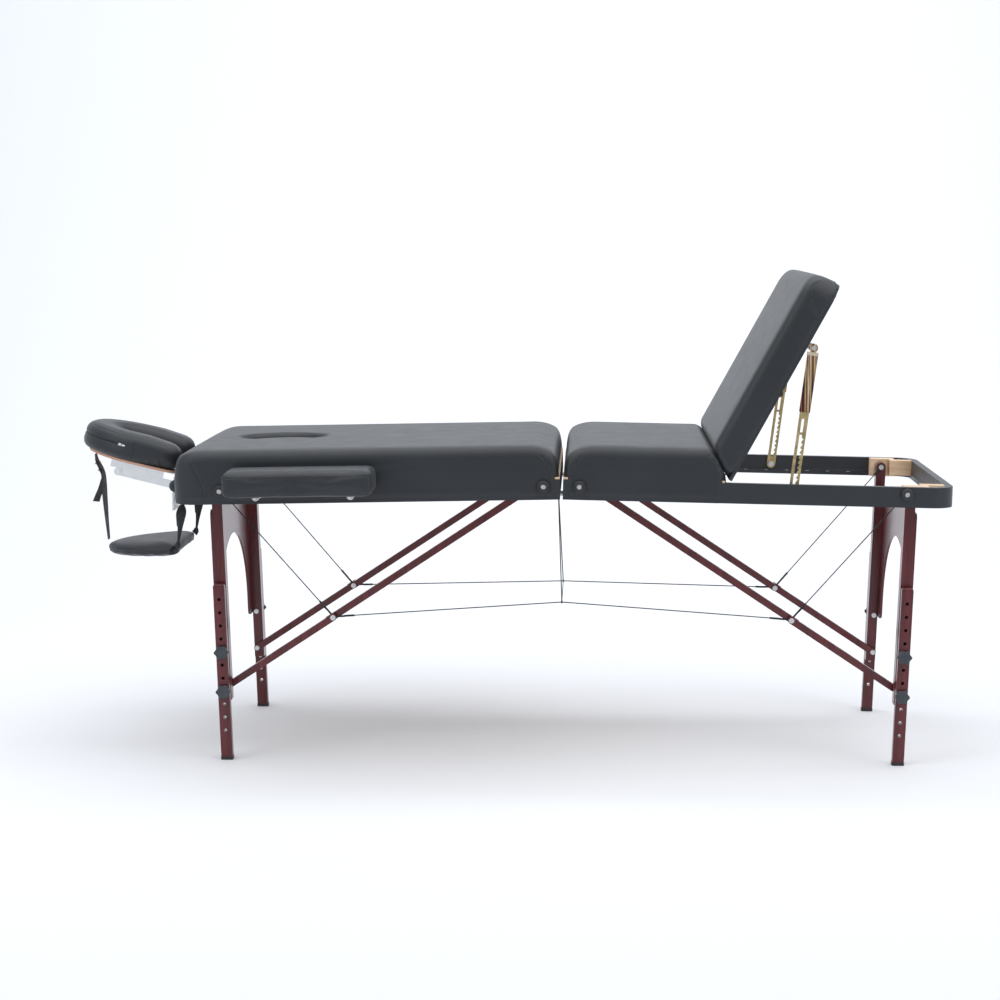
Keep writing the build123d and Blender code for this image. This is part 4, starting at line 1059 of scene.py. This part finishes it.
def front_strap():
    work = bmesh.new()
    upper = middle_line((1181, 712), (1179.5, 702), (1176, 692), (1171.5, 684), (1167, 674), (1163.5, 662),
                        (1162, 648), (1160.5, 610), (1157, 555), (1153, 505), (1152, 494))
    ribbon(work, stations_along(upper, [0.0125] * 3, [0, 12, 20, 14, 6, 0]), 0.0020)
    doubled = middle_line((1180.5, 706), (1181, 698), (1179.5, 688), (1175, 678), (1169, 667), (1165.5, 656))
    ribbon(work, stations_along(doubled, [0.0122] * 3, [0, -10, 0]), 0.0018)
    tail = middle_line((1165, 648), (1168, 634), (1173, 617), (1178.5, 602), (1183, 590))
    ribbon(work, stations_along(tail, [0.0125, 0.0125, 0.0130], [8, 16, 26, 30]), 0.0022)
    strap_piece("front_sling_webbing", work, "arm_sling", "sling_front_strap")
    work = bmesh.new()
    for z in (689, 672):
        for shift in (-3.2, 3.2):
            u = 1172.5 + (z - 680) * 0.42 + shift
            a, b = (Vector(side_point(u, y, z - shift * 0.4)) for y in (-15, 15))
            tube(work, [a, a.lerp(b, 0.5), b], 0.0014, 8)
    for y in (-15, 15):
        a, b = Vector(side_point(1178.5, y, 696)), Vector(side_point(1166.5, y, 666))
        tube(work, [a, a.lerp(b, 0.5), b], 0.0017, 8)
    strap_piece("sling_buckle", work, "arm_sling", None, HANDLE)


# ---- vinyl edges inside the open frame ----

def rail_edges():
    """The folded vinyl edge and its staples along the inner faces of the open foot frame."""
    inner = HALF - 0.018
    work, pins = bmesh.new(), bmesh.new()
    runs = [[(u, side * (inner - 0.0004), (0, -side, 0)) for u in np.arange(0.402, 0.800, 0.006)]
            for side in (-1, 1)]
    end = LENGTH - 0.018 - 0.0004
    runs.append([(end, y, (-1, 0, 0)) for y in np.arange(-0.250, 0.251, 0.006)])
    for run in runs:
        columns = []
        for k, (u, y, way) in enumerate(run):
            top = 0.0150 + 0.0009 * math.sin(k * 0.9) + 0.0006 * random.normal()
            lift = 0.0011 + 0.0003 * math.sin(k * 1.7)
            column = []
            for w, out in ((0.0008, 0.0), (0.0035, lift), (top - 0.003, lift),
                           (top - 0.0008, lift * 1.5), (top, 0.0)):
                column.append(work.verts.new(Vector((u, y, w)) + Vector(way) * out))
            columns.append(column)
            if k % 9 == 4:
                along = Vector((1, 0, 0)) if abs(way[1]) else Vector((0, 1, 0))
                base = Vector((u, y, 0.0095)) + Vector(way) * (lift + 0.0004)
                ends = [base - along * 0.005 - Vector(way) * 0.001, base - along * 0.0048, base,
                        base + along * 0.0048, base + along * 0.005 - Vector(way) * 0.001]
                tube(pins, ends, 0.0004, 5)
        for a, b in zip(columns, columns[1:]):
            for k in range(4):
                work.faces.new((a[k], b[k], b[k + 1], a[k + 1]))
    for source, name, material, slot in ((work, "rail_vinyl_edges", RAIL_VINYL, "vinyl_wrapped_rail"),
                                         (pins, "rail_staples", STEEL, "zinc_steel")):
        put_in_place(piece_of(source, name, material), FOOT_HALF, "foot_half")


def paint_frames():
    """Vinyl round the rails, with bare ply only on the inner faces that the decks and pads hide."""
    for node in ("head_frame_rails", "foot_frame_rails"):
        mesh = paint(node, RAIL_VINYL, PLY)
        for face in mesh.polygons:
            inward = face.center.y * face.normal.y < -0.2
            face.material_index = 1 if node[0] == "h" and inward else 0
        soften(node, 0.0022)
    mesh = paint("backrest_board", RAIL_VINYL, PLY)
    rear = (BACKREST.to_3x3() @ Vector((0, 0, -1))).normalized()
    for face in mesh.polygons:
        face.material_index = 1 if face.normal.dot(rear) > 0.9 else 0
    soften("backrest_board", 0.0008)


def paint_frame_parts():
    plain = {
        "head_corner_blocks": (PLY_BLOCKS, 0.0008), "foot_corner_blocks": (PLY_BLOCKS, 0.0008),
        "head_deck": (PLY, 0.0006), "seat_deck": (PLY, 0.0006),
        "cradle_platform": (PLY_EDGE, 0.0006), "cradle_base": (ALUMINIUM, 0.0006),
        "cradle_arms": (ALUMINIUM, 0.0005), "cradle_knob": (KNOB, 0.0008),
        "head_bumpers": (RUBBER, 0.0008), "foot_bumpers": (RUBBER, 0.0008),
        "head_hardware": (STEEL, 0.0004), "foot_hardware": (STEEL, 0.0004),
        "centre_hinge_pins": (STEEL, 0.0003), "backrest_brackets": (STEEL, 0.0004),
        "stay_ratchet_plates": (BRASS, 0.0003), "stay_channels": (COPPERY, 0.0003),
        "head_carry_handle": (HANDLE, 0.0008), "foot_carry_handle": (HANDLE, 0.0008),
        "drop_cables": (CABLE, 0),
    }
    for half, struts in (("head", WOOD_HEAD), ("foot", WOOD_FOOT)):
        plain[f"{half}_leg_posts"] = (WOOD, 0.0020)
        plain[f"{half}_leg_panel"] = (WOOD, 0.0012)
        plain[f"{half}_upper_struts"] = (struts, 0.0012)
        plain[f"{half}_lower_struts"] = (struts, 0.0006)
        plain[f"{half}_end_cables"] = (CABLE, 0)
        plain[f"{half}_cross_cables"] = (CABLE, 0)
        for row in ("near", "far"):
            plain[f"{half}_{row}_leg_extension"] = (WOOD, 0.0006)
            plain[f"{half}_{row}_rubber_foot"] = (RUBBER, 0.0010)
            plain[f"{half}_{row}_upper_knob"] = (KNOB, 0.0007)
            plain[f"{half}_{row}_lower_knob"] = (KNOB, 0.0007)
    for node, (material, edge) in plain.items():
        paint(node, material)
        if edge:
            soften(node, edge)


def second_material(node, material, wanted):
    """Give some faces of a CAD part a second material."""
    mesh = frame["nodes"][node].data
    mesh.materials.append(material)
    index = len(mesh.materials) - 1
    for face in mesh.polygons:
        if wanted(face.center):
            face.material_index = index


def small_metal():
    """The plated bolts and washers of the knobs, struts, bumpers and cradle, and the black end stop."""
    for half in ("head", "foot"):
        for row in ("near", "far"):
            for place in ("upper", "lower"):
                second_material(f"{half}_{row}_{place}_knob", STEEL, lambda c: abs(c.y) < 0.3181)
        second_material(f"{half}_lower_struts", STEEL, lambda c: abs(c.y) < 0.2460 or abs(c.y) > 0.2596)
        second_material(f"{half}_upper_struts", STEEL, lambda c: abs(c.y) < 0.2304)
    second_material("cradle_knob", STEEL, lambda c: c.y > -0.1172)
    second_material("foot_hardware", RUBBER, lambda c: c.x > HINGE_X + LENGTH + 0.0004)
    for node in ("head_bumpers", "foot_bumpers"):
        spots = [(HINGE_X - u if node[0] == "h" else HINGE_X + u) for u in BUMPERS]

        def screw(c, spots=spots):
            near = min(abs(c.x - x) for x in spots)
            return near < 0.0062 and c.y > -0.3585 and math.hypot(near, c.z - middle_height(c.x)) < 0.0056
        second_material(node, STEEL, screw)
    second_material("cradle_platform", ALUMINIUM, lambda c: abs(c.y) > 0.0990 and below_board(c))
    stay_paint()


def middle_height(x):
    """Height of a bumper's middle at a place along the table."""
    u = abs(x - HINGE_X)
    return HINGE_Z - u * math.sin(TILT) + (BUMPER_HEIGHT + BOARD_LIFT) * math.cos(TILT)


def below_board(c):
    """Whether a point is under the cradle's board."""
    return (CRADLE.inverted() @ c).z < -0.00005


def stay_paint():
    """Dark sliders, pale collars and silver pins on the stay channels."""
    mesh = frame["nodes"]["stay_channels"].data
    for material in (HANDLE, COLLAR, STEEL):
        mesh.materials.append(material)
    slider, collar, pin = 1, 2, 3
    foot = Vector(JOINTS["stay_swing"]["pos_m"])
    way = Vector(JOINTS["stay_telescope"]["axis"])
    span = max((v.co - foot).dot(way) for v in mesh.vertices) - 0.0105
    for face in mesh.polygons:
        along = (face.center - foot).dot(way)
        aside = (face.center - foot) - way * along
        if along < span - 0.1519:
            face.material_index = slider
        elif span - 0.0184 < along < span - 0.0096 and abs(face.center.y) > 0.3280:
            face.material_index = collar
        elif abs(along - span) < 0.0056 and math.hypot(along - span, aside.x) < 0.0057:
            face.material_index = pin


# ---- stage, light and camera ----

def build_stage():
    rows = [(-9.0, 0.0), (-4.0, 0.0), (0.0, 0.0), (1.6, 0.0)]
    for t in np.linspace(0.15, math.pi / 2, 12):
        rows.append((1.6 + 2.4 * math.sin(t), 2.4 - 2.4 * math.cos(t)))
    rows += [(4.0, 3.4), (4.0, 6.0)]
    columns = np.linspace(-9, 9, 13)
    mesh = bpy.data.meshes.new("studio_sweep")
    verts = [(x, y, z) for y, z in rows for x in columns]
    faces = []
    for a in range(len(rows) - 1):
        for b in range(len(columns) - 1):
            k = a * len(columns) + b
            faces.append((k, k + 1, k + 1 + len(columns), k + len(columns)))
    mesh.from_pydata(verts, [], faces)
    shader = Shader("studio_paper", (0.83, 0.845, 0.875), 0.75, specular=0.25)
    made = new_piece("studio_sweep", mesh, shader.material)


def soft_light(name, place, aim, size, power, color=(1, 1, 1)):
    lamp = bpy.data.lights.new(name, "AREA")
    lamp.shape = "RECTANGLE"
    lamp.size, lamp.size_y = size
    lamp.energy = power
    lamp.color = color
    made = bpy.data.objects.new(name, lamp)
    made.location = place
    made.rotation_euler = (Vector(aim) - Vector(place)).to_track_quat("-Z", "Y").to_euler()
    bpy.context.scene.collection.objects.link(made)


def build_light():
    world = bpy.data.worlds.new("studio")
    bpy.context.scene.world = world
    world.use_nodes = True
    world.node_tree.nodes["Background"].inputs["Color"].default_value = (0.93, 0.96, 1.0, 1)
    world.node_tree.nodes["Background"].inputs["Strength"].default_value = 0.58
    soft_light("top_light", (0.2, -0.6, 3.6), (0.1, 0.1, 0.5), (6.5, 4.6), 125)
    soft_light("left_light", (-3.6, -3.0, 2.4), (0, 0, 0.7), (2.2, 2.6), 26, (0.95, 0.98, 1.0))
    soft_light("right_light", (3.8, -2.6, 2.2), (0, 0, 0.7), (2.0, 2.4), 20)
    soft_light("wall_light", (0.0, 1.4, 4.6), (0, 4.0, 1.6), (6.0, 1.5), 70, (0.97, 0.99, 1.0))


def build_camera():
    """The viewpoint: nearly side on and a little above the pads, with a long lens."""
    lens = bpy.data.cameras.new("camera")
    lens.sensor_width = 36
    lens.lens = LENS_LENGTH
    lens.clip_end = 60
    made = bpy.data.objects.new("camera", lens)
    made.location = CAMERA_PLACE
    made.rotation_euler = (math.radians(90) - CAMERA_DOWN, 0, CAMERA_TURN)
    bpy.context.scene.collection.objects.link(made)
    bpy.context.scene.camera = made
    view = bpy.context.scene.view_settings
    view.view_transform = "Standard"
    view.look = "None"


build_camera()
paint_frames()
paint_frame_parts()
small_metal()
head_pad()
seat_pad()
back_pad()
plug_pad()
face_cushion()
armrest(-1, "near")
armrest(1, "far")
sling_pad()
rear_straps()
front_strap()
rail_edges()
build_stage()
build_light()
